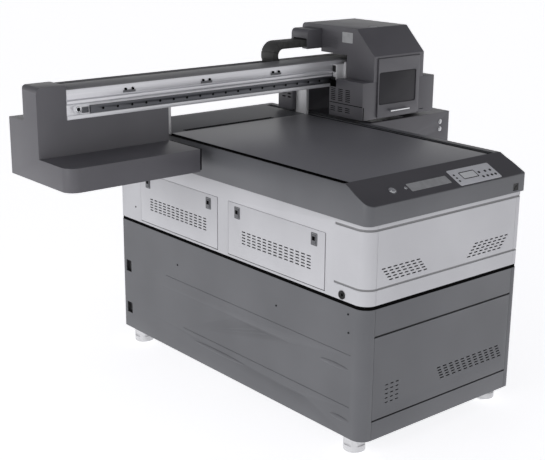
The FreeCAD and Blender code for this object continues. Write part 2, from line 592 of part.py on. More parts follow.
def make_carriage():
    keep(box(("carry_right - carry_left", "carry_thick", "carry_top - carry_low"),
             ("carry_left", "carry_y", "carry_low")), "carriage_plate")
    trucks = []
    for i in range(2):
        start = "truck_left + %d * truck_step" % i
        truck = box(("truck_long", "beam_y - carry_y - carry_thick - 6 - gap",
                     "truck_top - truck_low + 10"),
                    (start, "carry_y + carry_thick", "truck_low - 10"))
        groove = box(("truck_long + 2", "2 * strip_out", "strip_top - strip_low + 2 * gap"),
                     (start + " - 1", "beam_y - strip_out - gap", "strip_low - gap"))
        trucks.append(cut(truck, groove))
    keep(group(*trucks), "carriage_trucks")

    hood_section = [("hood_y", "hood_low"), ("hood_y", "hood_knee"),
                    ("hood_knee_y", "hood_top"), ("hood_back", "hood_top"),
                    ("hood_back", "hood_low")]
    inner_section = [("hood_y + sheet", "hood_low - 5"), ("hood_y + sheet", "hood_knee - 1"),
                     ("hood_knee_y + 1", "hood_top - sheet"),
                     ("hood_back - sheet", "hood_top - sheet"),
                     ("hood_back - sheet", "hood_low - 5")]
    wide = "hood_right - hood_left"
    hood = profile("YZ", hood_section, wide, ("hood_left", 0, 0), [(3, "18")])
    hood_inside = profile("YZ", inner_section, wide + " - 2 * sheet",
                          ("hood_left + sheet", 0, 0))
    beam_way = box((wide + " + 2", "hood_back - notch_front + 1", "notch_top - hood_low + 1"),
                   ("hood_left - 1", "notch_front", "hood_low - 1"))
    chain_way = box((wide + " + 2", "tunnel_back - tunnel_front", "tunnel_top - notch_top + 1"),
                    ("hood_left - 1", "tunnel_front", "notch_top - 1"))
    doorway = box(("hatch_right - hatch_left + 4", "6 * sheet", "hatch_top - hood_low + 5"),
                  ("hatch_left - 2", "hood_y - sheet", "hood_low - 2"))
    keep(cut(hood, hood_inside, beam_way, chain_way, doorway), "carriage_hood")

    lamp_boxes, lamps = [], []
    for left, right in (("lamp_left", "hatch_left - 2"), ("lamp_split", "lamp_right")):
        across = "%s - (%s)" % (right, left)
        walls = cut(box((across, "lamp_back - hood_y", "hood_low - box_low"),
                        (left, "hood_y", "box_low")),
                    box((across + " - 2 * sheet", "lamp_back - hood_y - 2 * sheet",
                         "hood_low - box_low"),
                        (left + " + sheet", "hood_y + sheet", "box_low - sheet")))
        skirt_x = "lamp_left" if left == "lamp_left" else "lamp_right - sheet"
        skirt = box(("sheet", "skirt_back - lamp_back", "skirt_top - box_low"),
                    (skirt_x, "lamp_back", "box_low"))
        lamp_boxes.append(join(walls, skirt))
        lamps.append(box((across + " - 4 * sheet", "lamp_back - hood_y - 8 * sheet", "lamp_high"),
                         (left + " + 2 * sheet", "hood_y + 4 * sheet", "box_low + 2")))
    keep(group(*lamp_boxes), "lamp_housings")
    keep(group(*lamps), "uv_lamps")

    heads = [box(("head_wide", "head_deep", "head_high"),
                 ("head_x + %d * head_step" % i, "head_y", "head_low")) for i in range(4)]
    holes = [box(("head_wide + 2 * gap", "head_deep + 2 * gap", "head_high"),
                 ("head_x + %d * head_step - gap" % i, "head_y - gap", "head_plate_low - 10"))
             for i in range(4)]
    plate = cut(box(("hatch_right - hatch_left - 4", "lamp_back - hood_y - 8", "head_plate_high"),
                    ("hatch_left + 2", "hood_y + 12", "head_plate_low")), *holes)
    keep(group(plate, *heads), "print_heads")


def make_hatch():
    panel = box(("hatch_right - hatch_left", "hatch_thick", "hatch_top - hatch_low"),
                ("hatch_left", "hatch_y", "hatch_low"))
    window = profile("XZ", [("window_left", "window_low"), ("window_right", "window_low"),
                            ("window_right", "window_top"), ("window_left", "window_top")],
                     "4 * hatch_thick", (0, "hatch_y - hatch_thick", 0),
                     [(i, "window_round") for i in range(4)])
    keep(cut(panel, window), "hatch")
    pane = profile("XZ", [("window_left + gap", "window_low + gap"),
                          ("window_right - gap", "window_low + gap"),
                          ("window_right - gap", "window_top - gap"),
                          ("window_left + gap", "window_top - gap")],
                   "glass_thick", (0, "hatch_y + 2", 0), [(i, "window_round - gap") for i in range(4)])
    keep(pane, "hatch_window")
    bar = rod("grip_r", "grip_right - grip_left", ("grip_left", "hatch_y - grip_out", "grip_z"), "x")
    posts = [rod("grip_r", "grip_out", (across, "hatch_y - grip_out", "grip_z"), "y")
             for across in ("grip_left + 2 * grip_r", "grip_right - 2 * grip_r")]
    keep(join(bar, *posts), "hatch_handle")


def make_chain():
    """The bend opens to the right: a run in the tray below it, a run to the carriage above."""
    centre = "chain_low + bend_r"
    ring = cut(rod("bend_r", "chain_wide", ("bend_x", "chain_y", centre), "y"),
               rod("bend_r - link_high", "chain_wide + 2", ("bend_x", "chain_y - 1", centre), "y"))
    half = cut(ring, box(("2 * bend_r", "2 * chain_wide", "3 * bend_r"),
                         ("bend_x", "chain_y - chain_wide / 2", "chain_low - bend_r / 2")))
    low_run = box(("run_long", "chain_wide", "link_high"), ("bend_x", "chain_y", "chain_low"))
    keep(join(half, low_run), "chain_bend")
    keep(box(("chain_end - bend_x", "chain_wide", "link_high"),
             ("bend_x", "chain_y", "chain_low + 2 * bend_r - link_high")), "chain_upper_run")

    def arm(inset, low):
        left, top = "arm_left + %s" % inset, "arm_top - %s" % inset
        return profile("XZ", [(left, low), ("hood_left", low), ("hood_left", top), (left, top)],
                       "arm_back - arm_y - 2 * %s" % inset, (0, "arm_y + %s" % inset, 0),
                       [(3, "arm_round - %s" % inset)])

    way = box(("3 * sheet", "tunnel_back - tunnel_front", "tunnel_top - arm_low + 1"),
              ("arm_left - sheet", "tunnel_front", "arm_low - 1"))
    keep(cut(arm("0", "arm_low"), arm("sheet", "arm_low - 5"), way), "chain_arm_box")


def key_on_slope(radius, length, sunk):
    """A round piece that stands square on the console's slope, sunk below its face."""
    rise = math.atan2(size("deck_top - lip_top"), size("slope_back + deck_over"))
    key = doc.addObject("Part::Cylinder", "Key")
    key.setExpression("Radius", formula(radius))
    key.setExpression("Height", formula(length))
    key.Placement.Rotation = FreeCAD.Rotation(FreeCAD.Vector(1, 0, 0), math.degrees(rise))
    height = "lip_top + (start_y + deck_over) * (deck_top - lip_top) / (slope_back + deck_over)"
    back, down = math.sin(rise), math.cos(rise)
    return place(key, ("start_x", "start_y + %.4f * (%s)" % (back, sunk),
                       "%s - %.4f * (%s)" % (height, down, sunk)))


def make_start_button():
    return keep(key_on_slope("start_r", "start_high + sheet", "sheet"), "start_button")


make_frame()
make_cabinets()
make_deck()
make_bed()
make_bed_drive()
make_electronics()
make_doors()
make_castors()
make_beam()
make_belt()
make_left_end()
make_right_end()
make_carriage()
make_hatch()
make_chain()
make_start_button()

doc.recompute()
for item in doc.Objects:
    if "Invalid" in item.State or "Error" in item.State:
        raise RuntimeError("%s did not recompute: %s" % (item.Label, item.State))
os.makedirs("parts", exist_ok=True)
for part in subparts:
    if part.Shape.isNull() or not part.Shape.isValid():
        raise RuntimeError("%s has no valid shape" % part.Label)
    part.Shape.exportStep("parts/%s.step" % part.Label)
print(len(subparts), "sub-parts written")
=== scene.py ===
import json
import math

import bpy
from mathutils import Matrix, Vector

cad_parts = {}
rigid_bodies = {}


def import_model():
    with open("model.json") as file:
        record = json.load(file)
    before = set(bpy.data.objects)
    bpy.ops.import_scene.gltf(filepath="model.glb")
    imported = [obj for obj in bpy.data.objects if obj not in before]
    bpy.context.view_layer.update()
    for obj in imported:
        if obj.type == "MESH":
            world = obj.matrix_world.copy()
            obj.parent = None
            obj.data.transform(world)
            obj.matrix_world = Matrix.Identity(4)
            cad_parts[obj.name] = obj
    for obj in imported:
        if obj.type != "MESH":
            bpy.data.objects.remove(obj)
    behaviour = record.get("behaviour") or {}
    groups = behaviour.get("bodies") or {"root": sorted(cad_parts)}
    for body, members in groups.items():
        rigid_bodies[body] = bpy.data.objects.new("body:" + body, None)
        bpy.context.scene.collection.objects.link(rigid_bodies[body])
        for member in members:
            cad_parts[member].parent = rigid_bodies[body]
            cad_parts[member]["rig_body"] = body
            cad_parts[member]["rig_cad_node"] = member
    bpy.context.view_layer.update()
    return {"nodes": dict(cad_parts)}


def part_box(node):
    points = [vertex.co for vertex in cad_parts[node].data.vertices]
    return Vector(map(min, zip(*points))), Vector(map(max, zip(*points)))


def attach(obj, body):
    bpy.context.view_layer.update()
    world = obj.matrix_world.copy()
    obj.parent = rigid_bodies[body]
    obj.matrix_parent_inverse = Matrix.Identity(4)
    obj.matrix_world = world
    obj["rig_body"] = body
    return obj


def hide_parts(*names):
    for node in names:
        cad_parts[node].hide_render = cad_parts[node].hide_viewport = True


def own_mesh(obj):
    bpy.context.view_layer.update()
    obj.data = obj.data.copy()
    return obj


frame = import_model()
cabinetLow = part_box("lower_cabinet_shell")[0]
corner = Vector((cabinetLow.x, cabinetLow.y, 0))    # the cabinet's front left corner, on the floor
print("frame loaded with", len(frame["nodes"]), "nodes")


# a place in millimetres from the corner: x to the right, y to the back, z up
def at(x, y, z):
    return corner + Vector((x, y, z)) / 1000


# a node's lowest and highest x, y, z in the same millimetres
def reach(node):
    low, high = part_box(node)
    return [*((low - corner) * 1000), *((high - corner) * 1000)]


# modelling
def deselectAll():
    if bpy.context.object and bpy.context.object.mode != "OBJECT":
        bpy.ops.object.mode_set(mode="OBJECT")
    bpy.ops.object.select_all(action="DESELECT")


def makeActive(piece):
    deselectAll()
    piece.select_set(True)
    bpy.context.view_layer.objects.active = piece
    return piece


def settle(piece):    # place, turn and size go into the mesh
    makeActive(piece)
    bpy.ops.object.transform_apply(location=True, rotation=True, scale=True)
    return piece


def block(low, high):
    deselectAll()
    near, far = at(*low), at(*high)
    bpy.ops.mesh.primitive_cube_add(size=1, location=(near + far) / 2, scale=far - near)
    return settle(bpy.context.object)


# a block between two depths in from a side face; inward is 1 on the left face and -1 on the right
def sideBlock(side, inward, depths, along, heights):
    near, far = sorted(side + inward * depth for depth in depths)
    return block((near, along[0], heights[0]), (far, along[1], heights[1]))


turnTo = {"x": (0, math.pi / 2, 0), "y": (-math.pi / 2, 0, 0), "z": (0, 0, 0)}


def drum(radius, length, middle, axis="z", sides=32):
    deselectAll()
    bpy.ops.mesh.primitive_cylinder_add(vertices=sides, radius=radius / 1000, depth=length / 1000,
                                        location=at(*middle), rotation=turnTo[axis])
    return settle(bpy.context.object)


def lens(middle, sizes):    # a long soft bead, for ribs that are pressed in or out
    deselectAll()
    bpy.ops.mesh.primitive_uv_sphere_add(segments=48, ring_count=24, radius=0.5,
                                         location=at(*middle), scale=Vector(sizes) / 1000)
    return settle(bpy.context.object)


# a flat outline on one plane, such as "yz", extruded along the third axis
def extruded(outline, plane, start, depth):
    deselectAll()
    bpy.ops.mesh.primitive_circle_add(vertices=len(outline), radius=1, fill_type="NGON")
    piece = bpy.context.object
    first, second = ["xyz".index(letter) for letter in plane]
    third = 3 - first - second
    for vertex, spot in zip(piece.data.vertices, outline):
        place = [0, 0, 0]
        place[first], place[second], place[third] = spot[0], spot[1], start
        vertex.co = at(*place) - piece.location
    push = [0, 0, 0]
    push[third] = depth / 1000
    bpy.ops.object.mode_set(mode="EDIT")
    bpy.ops.mesh.select_all(action="SELECT")
    bpy.ops.mesh.extrude_region_move(TRANSFORM_OT_translate={"value": push})
    bpy.ops.mesh.select_all(action="SELECT")
    bpy.ops.mesh.normals_make_consistent(inside=False)
    bpy.ops.object.mode_set(mode="OBJECT")
    return settle(piece)


# the radius is one number, or four: low right, top right, top left, low left
def roundedOutline(left, low, right, top, radius, steps=5):
    points = []
    radii = radius if isinstance(radius, tuple) else (radius,) * 4
    sides = [(right, low, -1, 1, -90), (right, top, -1, -1, 0),
             (left, top, 1, -1, 90), (left, low, 1, 1, 180)]
    for (side, end, inward, upward, start), radius in zip(sides, radii):
        across, up = side + inward * radius, end + upward * radius
        for i in range(steps + 1):
            angle = math.radians(start + 90 * i / steps)
            points.append((across + radius * math.cos(angle), up + radius * math.sin(angle)))
    return points


def slot(left, low, right, top, plane, start, depth):    # a short slot with round ends
    return extruded(roundedOutline(left, low, right, top, (top - low) / 2 * 0.98, 2), plane, start, depth)


def applyModifier(piece, kind, settings):
    makeActive(piece)
    bpy.ops.object.modifier_add(type=kind)
    modifier = piece.modifiers[-1]
    for name, value in settings.items():
        setattr(modifier, name, value)
    bpy.ops.object.modifier_apply(modifier=modifier.name)
    return piece


def repeated(piece, count, step):
    return applyModifier(piece, "ARRAY", {"count": count, "use_relative_offset": False,
                                          "use_constant_offset": True,
                                          "constant_offset_displace": Vector(step) / 1000})


def carve(piece, *tools):
    for tool in tools:
        applyModifier(piece, "BOOLEAN", {"object": tool, "operation": "DIFFERENCE", "solver": "EXACT"})
        bpy.data.objects.remove(tool)
    return piece


def soften(piece, width, segments=2, angle=40):    # the small radius that every real edge has
    return applyModifier(piece, "BEVEL", {"width": width / 1000, "segments": segments,
                                          "limit_method": "ANGLE", "angle_limit": math.radians(angle)})


def joined(pieces):
    makeActive(pieces[0])
    for piece in pieces[1:]:
        piece.select_set(True)
    if len(pieces) > 1:
        bpy.ops.object.join()
    return pieces[0]


# a merged copy of a node's mesh, on its own, ready to be worked on
def copyOf(node):
    makeActive(frame["nodes"][node])
    bpy.ops.object.duplicate()
    piece = bpy.context.object
    bpy.ops.object.parent_clear(type="CLEAR_KEEP_TRANSFORM")
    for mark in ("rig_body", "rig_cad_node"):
        del piece[mark]
    bpy.ops.mesh.customdata_custom_splitnormals_clear()
    bpy.ops.object.mode_set(mode="EDIT")
    bpy.ops.mesh.select_all(action="SELECT")
    bpy.ops.mesh.remove_doubles(threshold=0.00002)
    bpy.ops.mesh.dissolve_limited(angle_limit=math.radians(0.3))
    bpy.ops.object.mode_set(mode="OBJECT")
    return piece


# opens edit mode with the faces that pass a test of middle and normal selected
def pickFaces(piece, test):
    makeActive(piece)
    bpy.ops.object.mode_set(mode="EDIT")
    bpy.ops.mesh.select_mode(type="FACE")
    bpy.ops.mesh.select_all(action="DESELECT")
    bpy.ops.object.mode_set(mode="OBJECT")
    for face in piece.data.polygons:
        face.select = test(face.center, face.normal)
    bpy.ops.object.mode_set(mode="EDIT")


def sunk(piece, direction, rim, deep):    # insets the faces that point one way and pushes them in
    facing = Vector(direction)
    pickFaces(piece, lambda middle, normal: normal.dot(facing) > 0.99)
    bpy.ops.mesh.inset(thickness=rim / 1000, depth=0)
    bpy.ops.transform.translate(value=-facing * deep / 1000)
    bpy.ops.object.mode_set(mode="OBJECT")
    return piece


def screwHead(place, direction, radius=3, high=1.6):
    axis = "xyz"[[abs(part) > 0.5 for part in direction].index(True)]
    head = drum(radius, high, Vector(place) + Vector(direction) * high / 2, axis, 16)
    return sunk(head, direction, radius * 0.45, high * 0.6)


def coated(piece, finish):
    piece.data.materials.clear()
    piece.data.materials.append(finish)
    return piece


def finished(piece, name, finish, body, nodes=()):
    makeActive(piece)
    bpy.ops.object.shade_smooth_by_angle(angle=math.radians(32))
    piece.name = name
    piece.data.name = name
    if finish:
        coated(piece, finish)
    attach(piece, body)
    if nodes:
        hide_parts(*nodes)
    return piece


# finishes
def colour(hexCode):
    shares = [int(hexCode[i:i + 2], 16) / 255 for i in (1, 3, 5)]
    linear = [s / 12.92 if s <= 0.04045 else ((s + 0.055) / 1.055) ** 2.4 for s in shares]
    return (*linear, 1)


def addNode(tree, kind, settings=None, links=None):
    node = tree.nodes.new(kind)
    for name, value in (settings or {}).items():
        if name in node.inputs:
            node.inputs[name].default_value = value
        else:
            setattr(node, name, value)
    for name, socket in (links or {}).items():
        tree.links.new(socket, node.inputs[name])
    return node


def newFinish(name, settings):
    material = bpy.data.materials.new(name)
    material.use_nodes = True
    shader = material.node_tree.nodes["Principled BSDF"]
    for socket, value in settings.items():
        shader.inputs[socket].default_value = value
    coordinates = addNode(material.node_tree, "ShaderNodeTexCoord")
    return material, material.node_tree, shader, coordinates.outputs["Object"]


def twoTone(tree, share, dark, light):    # a drift between two near shades
    ramp = addNode(tree, "ShaderNodeValToRGB", links={"Fac": share})
    low, high = ramp.color_ramp.elements
    low.position, low.color = 0.35, colour(dark)
    high.position, high.color = 0.65, colour(light)
    return ramp.outputs["Color"]


# gives a shader its two tones, its gloss within a spread, and its relief; each follows a pattern
def dress(tree, shader, tones, tonePattern, rough, spread, glossPattern, relief=None, depth=0, step=0.0002):
    gloss = addNode(tree, "ShaderNodeMapRange", {"To Min": rough + spread[0], "To Max": rough + spread[1]},
                    {"Value": glossPattern})
    tree.links.new(twoTone(tree, tonePattern, *tones), shader.inputs["Base Color"])
    tree.links.new(gloss.outputs["Result"], shader.inputs["Roughness"])
    if relief:
        bump = addNode(tree, "ShaderNodeBump", {"Strength": depth, "Distance": step}, {"Height": relief})
        tree.links.new(bump.outputs["Normal"], shader.inputs["Normal"])


# Polyester powder baked on sheet steel: an even satin skin whose orange peel softens each reflection.
# The real peel is about 1 mm; it is drawn at the size given, so that it still shows.
def powderCoat(name, dark, light, drift, rough, depth=0.06, peel=3):
    material, tree, shader, place = newFinish(name, {"IOR": 1.5})
    peels = addNode(tree, "ShaderNodeTexNoise", {"Scale": 1000 / peel, "Detail": 3},
                    {"Vector": place}).outputs["Fac"]
    drifts = addNode(tree, "ShaderNodeTexNoise", {"Scale": 1000 / drift, "Detail": 2},
                     {"Vector": place}).outputs["Fac"]
    dress(tree, shader, (dark, light), drifts, rough, (-0.06, 0.06), peels, peels, depth, 0.0004)
    return material


# Bare or anodised metal that a die, a mill or a brush has left with fine lines along one axis.
def workedMetal(name, dark, light, axis, line, stretch, rough, depth, metallic=1.0):
    material, tree, shader, place = newFinish(name, {"Metallic": metallic})
    across = 1000 / line    # lines per metre
    size = [across / stretch if letter == axis else across for letter in "xyz"]
    turned = addNode(tree, "ShaderNodeMapping", {"Scale": size}, {"Vector": place}).outputs["Vector"]
    lines = addNode(tree, "ShaderNodeTexNoise", {"Scale": 1, "Detail": 4},
                    {"Vector": turned}).outputs["Fac"]
    dress(tree, shader, (dark, light), lines, rough, (-0.08, 0.08), lines, lines, depth)
    return material


# Injection-moulded plastic or rubber with the fine eroded grain of its tool.
def moulded(name, dark, light, grain, drift, rough, depth, ior=1.5):
    material, tree, shader, place = newFinish(name, {"IOR": ior})
    grains = addNode(tree, "ShaderNodeTexVoronoi", {"Scale": 1000 / grain},
                     {"Vector": place}).outputs["Distance"]
    drifts = addNode(tree, "ShaderNodeTexNoise", {"Scale": 1000 / drift, "Detail": 2},
                     {"Vector": place}).outputs["Fac"]
    dress(tree, shader, (dark, light), drifts, rough, (-0.08, 0.08), drifts, grains, depth)
    return material


# Cast acrylic or glass with a tint: glossy, with only a faint waviness in its reflections.
def tintedPane(name, dark, light, wave, rough, ior=1.49):
    material, tree, shader, place = newFinish(name, {"IOR": ior})
    waves = addNode(tree, "ShaderNodeTexNoise", {"Scale": 1000 / wave, "Detail": 1},
                    {"Vector": place}).outputs["Fac"]
    dress(tree, shader, (dark, light), waves, rough, (0, 0.06), waves)
    return material


# drift, peel, line, grain and wave are sizes in millimetres
whitePaint = powderCoat("white_powder_coat", "#C2C2C6", "#C9C9CD", drift=260, rough=0.5)
greyPaint = powderCoat("mid_grey_powder_coat", "#606165", "#67686C", drift=300, rough=0.48, depth=0.08)
deckPaint = powderCoat("slate_grey_powder_coat", "#5E5F63", "#646569", drift=280, rough=0.45, depth=0.08)
# a darker copy of the deck paint for the console's slope: painted shade for a face turned front and up
consoleShadedPaint = powderCoat("console_face_painted_shade", "#4C4B50", "#525156", drift=240, rough=0.5)
hoodPaint = powderCoat("charcoal_powder_coat", "#59585D", "#5F5E63", drift=220, rough=0.42, depth=0.08)
# the tray's grey, which also paints shade into the grooves of the white cabinet
trayPaintAndGrooveShade = powderCoat("grey_tray_paint_and_groove_shade", "#7C7C7E", "#848486", drift=200, rough=0.5)
framePaint = powderCoat("black_frame_paint", "#2A2B2E", "#333438", drift=120, rough=0.55, depth=0.15,
                        peel=4)
zincSheet = workedMetal("zinc_plated_sheet", "#8E9092", "#A3A5A8", "y", line=3, stretch=12, rough=0.42,
                        depth=0.1)
# hard anodised tooling plate: dense dark grey, satin, with a milled grain that runs along the bed
bedPlate = workedMetal("hard_anodised_bed_plate", "#7E7E83", "#84848A", "y", line=2.5, stretch=40,
                       rough=0.42, depth=0.04, metallic=0.1)
# extruded 6063 profile, clear anodised: bright satin with faint die lines along its length
beamAlloy = workedMetal("clear_anodised_extrusion", "#DADADE", "#E2E2E6", "x", line=4, stretch=60,
                        rough=0.36, depth=0.06, metallic=0.5)
castAlloy = workedMetal("machined_cast_alloy", "#D2D2D4", "#DEDEE0", "z", line=2, stretch=10, rough=0.4,
                        depth=0.08, metallic=0.4)
railSteel = workedMetal("blackened_rail_steel", "#5B5C60", "#66676C", "x", line=2, stretch=30, rough=0.4,
                        depth=0.04)
groundSteel = workedMetal("ground_steel", "#B2B3B6", "#C6C7CA", "y", line=1.5, stretch=20, rough=0.28,
                          depth=0.04)
chrome = workedMetal("bright_chrome", "#D6D7D9", "#E4E5E7", "x", line=2, stretch=20, rough=0.16, depth=0.01)
blackOxide = workedMetal("black_oxide_steel", "#1E1F21", "#2A2B2E", "z", line=2, stretch=4, rough=0.45,
                         depth=0.05)
# glass-filled nylon links: matt black with a mealy surface that never shines
chainNylon = moulded("black_chain_nylon", "#3A3A3A", "#424241", grain=2, drift=30, rough=0.6, depth=0.1)
blackPlastic = moulded("black_abs", "#161618", "#1F1F22", grain=1.5, drift=25, rough=0.42, depth=0.1)
greyPlastic = moulded("grey_latch_abs", "#5A5B5F", "#626367", grain=1.5, drift=20, rough=0.4, depth=0.08)
whiteNylon = moulded("white_castor_nylon", "#D2D2D4", "#DDDDDF", grain=2, drift=30, rough=0.35, depth=0.05)
blackRubber = moulded("black_rubber", "#101011", "#19191A", grain=1.2, drift=18, rough=0.75, depth=0.2)
# closed-cell foam and felt: they swallow the light, so joints and seals read as black lines; the same black
# is also the painted shade behind the vents and the painted shadow at the shelf's end
foamSealAndShade = moulded("black_foam_seal_and_shade", "#060606", "#0B0B0C", grain=1.5, drift=20, rough=0.92, depth=0.3,
                   ior=1.12)
keypadFoil = moulded("matt_keypad_foil", "#D6D7DC", "#E0E1E6", grain=1, drift=60, rough=0.45, depth=0.05)
labelFoil = moulded("silver_label_foil", "#A6A7A9", "#B3B4B6", grain=1, drift=25, rough=0.4, depth=0.03)
smokedAcrylic = tintedPane("smoked_acrylic", "#232227", "#29282D", wave=120, rough=0.3, ior=1.3)
screenGlass = tintedPane("pale_screen_glass", "#E6E8EA", "#F0F1F3", wave=40, rough=0.15)
lampGlass = tintedPane("violet_lamp_glass", "#241B38", "#2E2346", wave=30, rough=0.08)
print("finishes made")


# cabinet
cabinetRadii = {"left": 47, "right": 14, "rear": 8}    # its upright corners


def cabinetRing(low, high, outer, inner):    # a band between two insets from the cabinet's outline
    x0, y0, _, x1, y1, _ = reach("upper_body_shell")
    left, right, rear = cabinetRadii["left"], cabinetRadii["right"], cabinetRadii["rear"]
    outside, inside = [roundedOutline(x0 + inset, y0 + inset, x1 - inset, y1 - inset,
                                      (right - inset, rear - inset, rear - inset, left - inset), 8)
                       for inset in (outer, inner)]
    return carve(extruded(outside, "xy", low, high - low),
                 extruded(inside, "xy", low - 1, high - low + 2))


# the front of such a band, as far along the cabinet's sides as back
def frontBand(low, high, outer, inner, back):
    x0, _, _, x1, y1, _ = reach("upper_body_shell")
    return carve(cabinetRing(low, high, outer, inner),
                 block((x0 - 9, back, low - 2), (x1 + 9, y1 + 9, high + 2)))


seam = {"low": 528, "high": 541, "deep": 2.2, "tape": 0.5}    # the dark joint between the two cabinets


def makeSeam():
    tape = cabinetRing(seam["low"], seam["high"], seam["deep"] - seam["tape"], seam["deep"])
    finished(tape, "cabinet_joint_seal", foamSealAndShade, "base")


rearPanel = {"edges": (120, 645, 110, 490), "sunk": 2.4, "thick": 1.2}


def makeLowerCabinet():
    look = {"edge": 1.2, "creases": [(360, 61, 1109), (174, 61, 995)], "creaseHigh": 3, "creaseDeep": 1.3,
            "grips": [(308, 356), (127, 173)], "gripY": (1361, 1398),
            "beads": [(69, 207, 307), (612, 926, 142), (61, 153, 123)],
            "scoops": [(321, 719, 311), (252, 421, 138)], "beadHigh": 17, "beadOut": 7,
            "screws": [(1032, 424), (438, 427), (77, 501), (73, 438)], "screwRadius": 3.4,
            "cupWall": 2, "cupDeep": 10}
    x0, _, _, x1, y1, z1 = reach("lower_cabinet_shell")
    shell = soften(copyOf("lower_cabinet_shell"), look["edge"])
    carve(shell, cabinetRing(seam["low"], z1 + 2, -4, seam["deep"]))
    beads = []
    for side in (x0, x1):
        inward = 1 if side == x0 else -1
        for high, start, end in look["creases"]:
            carve(shell, sideBlock(side, inward, (-1, look["creaseDeep"]), (start, end),
                                   (high, high + look["creaseHigh"])))
        for heights in look["grips"]:
            carve(shell, sideBlock(side, inward, (-2, 8), look["gripY"], heights))
        for start, end, high in look["scoops"]:
            carve(shell, lens((side - inward * 2, (start + end) / 2, high),
                              (look["beadOut"], end - start, look["beadHigh"])))
        for start, end, high in look["beads"]:
            beads.append(lens((side + inward * 0.5, (start + end) / 2, high),
                              (look["beadOut"], end - start, look["beadHigh"])))
    left, right, low, high = rearPanel["edges"]
    carve(shell, extruded(roundedOutline(left - 1, low - 1, right + 1, high + 1, 9), "xz",
                          y1 - rearPanel["sunk"], 9))
    finished(joined([shell, *beads]), "lower_cabinet", greyPaint, "base",
             ["lower_cabinet_shell"])
    cups, screws = [], []
    wall, (start, end) = look["cupWall"], look["gripY"]
    for side in (x0, x1):
        inward = 1 if side == x0 else -1
        for low, high in look["grips"]:
            cup = sideBlock(side, inward, (0.8, 14), (start - wall, end + wall), (low - wall, high + wall))
            cups.append(sunk(cup, (-inward, 0, 0), 3, look["cupDeep"]))
        for along, high in look["screws"]:
            screws.append(screwHead((side, along, high), (-inward, 0, 0), look["screwRadius"]))
    finished(joined(cups), "grip_cups", blackPlastic, "base")
    finished(joined(screws), "lower_cabinet_screws", blackOxide, "base")


def ventTool(left, low, look, y, depth):    # rows of slots in a front face, each row stepped sideways
    rows = []
    for i in range(look["rows"]):
        shift = left + look["lean"] * i
        tool = slot(shift, low - look["rowStep"] * i, shift + look["long"],
                    low - look["rowStep"] * i + look["high"], "xz", y, depth)
        rows.append(repeated(tool, look["columns"], (look["columnStep"], 0, 0)))
    return joined(rows)


def shadeSheetBehind(low, high, name, body):    # a black sheet behind a vent: painted shade for the dark inside seen through the slots
    finished(block(low, high), name, foamSealAndShade, body)


def sideVentTool(start, low, look, x, depth):    # a grid of slots in a side face
    tool = slot(start, low, start + look["long"], low + look["high"], "yz", x, depth)
    repeated(tool, look["columns"], (0, look["columnStep"], 0))
    return repeated(tool, look["rows"], (0, 0, look["rowStep"]))


def makeLowerFront():
    look = {"edge": 0.8, "gaps": [(428, 435), (129, 135)], "gapBehind": 8, "backing": (160, 260),
            "backingColumn": 390 / 11,
            "wide": {"left": 360, "top": 238, "rows": 5, "columns": 11, "long": 20, "high": 4.6,
                     "columnStep": 31, "rowStep": 10.5, "lean": 5},
            "small": {"left": 106, "top": 246, "rows": 5, "columns": 3, "long": 15, "high": 4,
                      "columnStep": 25, "rowStep": 16, "lean": 0}}
    x0, y0, _, x1, y1, z1 = reach("lower_front_panel")
    panel = soften(copyOf("lower_front_panel"), look["edge"])
    carve(panel, block((x0 - 2, y0 - 2, seam["low"]), (x1 + 2, y0 + seam["deep"], z1 + 2)))
    for low, high in look["gaps"]:
        carve(panel, block((x0 - 2, y0 - 2, low), (x1 + 2, y1 + 2, high)))
    low, high = look["backing"]
    for name in ("wide", "small"):
        vent = look[name]
        carve(panel, ventTool(vent["left"], vent["top"], vent, y0 - 3, 9))
        end = vent["left"] + look["backingColumn"] * vent["columns"]
        # a black sheet behind the vent slots: painted shade
        shadeSheetBehind((vent["left"] - 5, y1 + 0.1, low), (end, y1 + 0.7, high),
               "lower_front_%s_vent_backing" % name, "base")
    finished(panel, "lower_front", greyPaint, "base", ["lower_front_panel"])
    backing = []
    for low, high in look["gaps"]:
        strip = block((x0, y1 + 1, low - look["gapBehind"]), (x1, y1 + 2.5, high + look["gapBehind"]))
        backing.append(sunk(strip, (0, -1, 0), 3, 0.6))
    finished(joined(backing), "front_gap_backing", blackPlastic, "base")


frontGrooves = [(592, 599.5), (790, 798.5)]    # heights on the white front that also wrap its corners


def makeUpperCabinet():
    look = {"edge": 1.2, "grooveDeep": 2.1, "grooveBack": 149, "strip": 0.3,
            "screws": [(1316, 712), (1316, 598)], "screwRadius": 3.2,
            "vent": {"rows": 5, "columns": 13, "long": 20, "high": 4.6, "columnStep": 31, "rowStep": 10.5},
            "ventStarts": (250, 850), "ventLow": 610}
    x0, _, z0, x1, _, _ = reach("upper_body_shell")
    deep, back, strip = look["grooveDeep"], look["grooveBack"], look["strip"]
    shell = soften(copyOf("upper_body_shell"), look["edge"])
    carve(shell, cabinetRing(z0 - 2, seam["high"], -4, seam["deep"]))
    for low, high in frontGrooves:
        carve(shell, frontBand(low, high, -4, deep, back))
    for start in look["ventStarts"]:
        carve(shell, sideVentTool(start, look["ventLow"], look["vent"], x1 - 6, 9))
    finished(shell, "upper_cabinet", whitePaint, "base", ["upper_body_shell"])
    # grey strips at the bottoms of the white grooves: painted shade in the grooves
    strips = [frontBand(low + strip, high - strip, deep - strip, deep, back) for low, high in frontGrooves]
    finished(joined(strips), "groove_painted_shade_strips", trayPaintAndGrooveShade, "base")
    screws = []
    for side, outward in ((x0, -1), (x1, 1)):
        for along, high in look["screws"]:
            screws.append(screwHead((side, along, high), (outward, 0, 0), look["screwRadius"]))
    finished(joined(screws), "upper_cabinet_screws", blackOxide, "base")


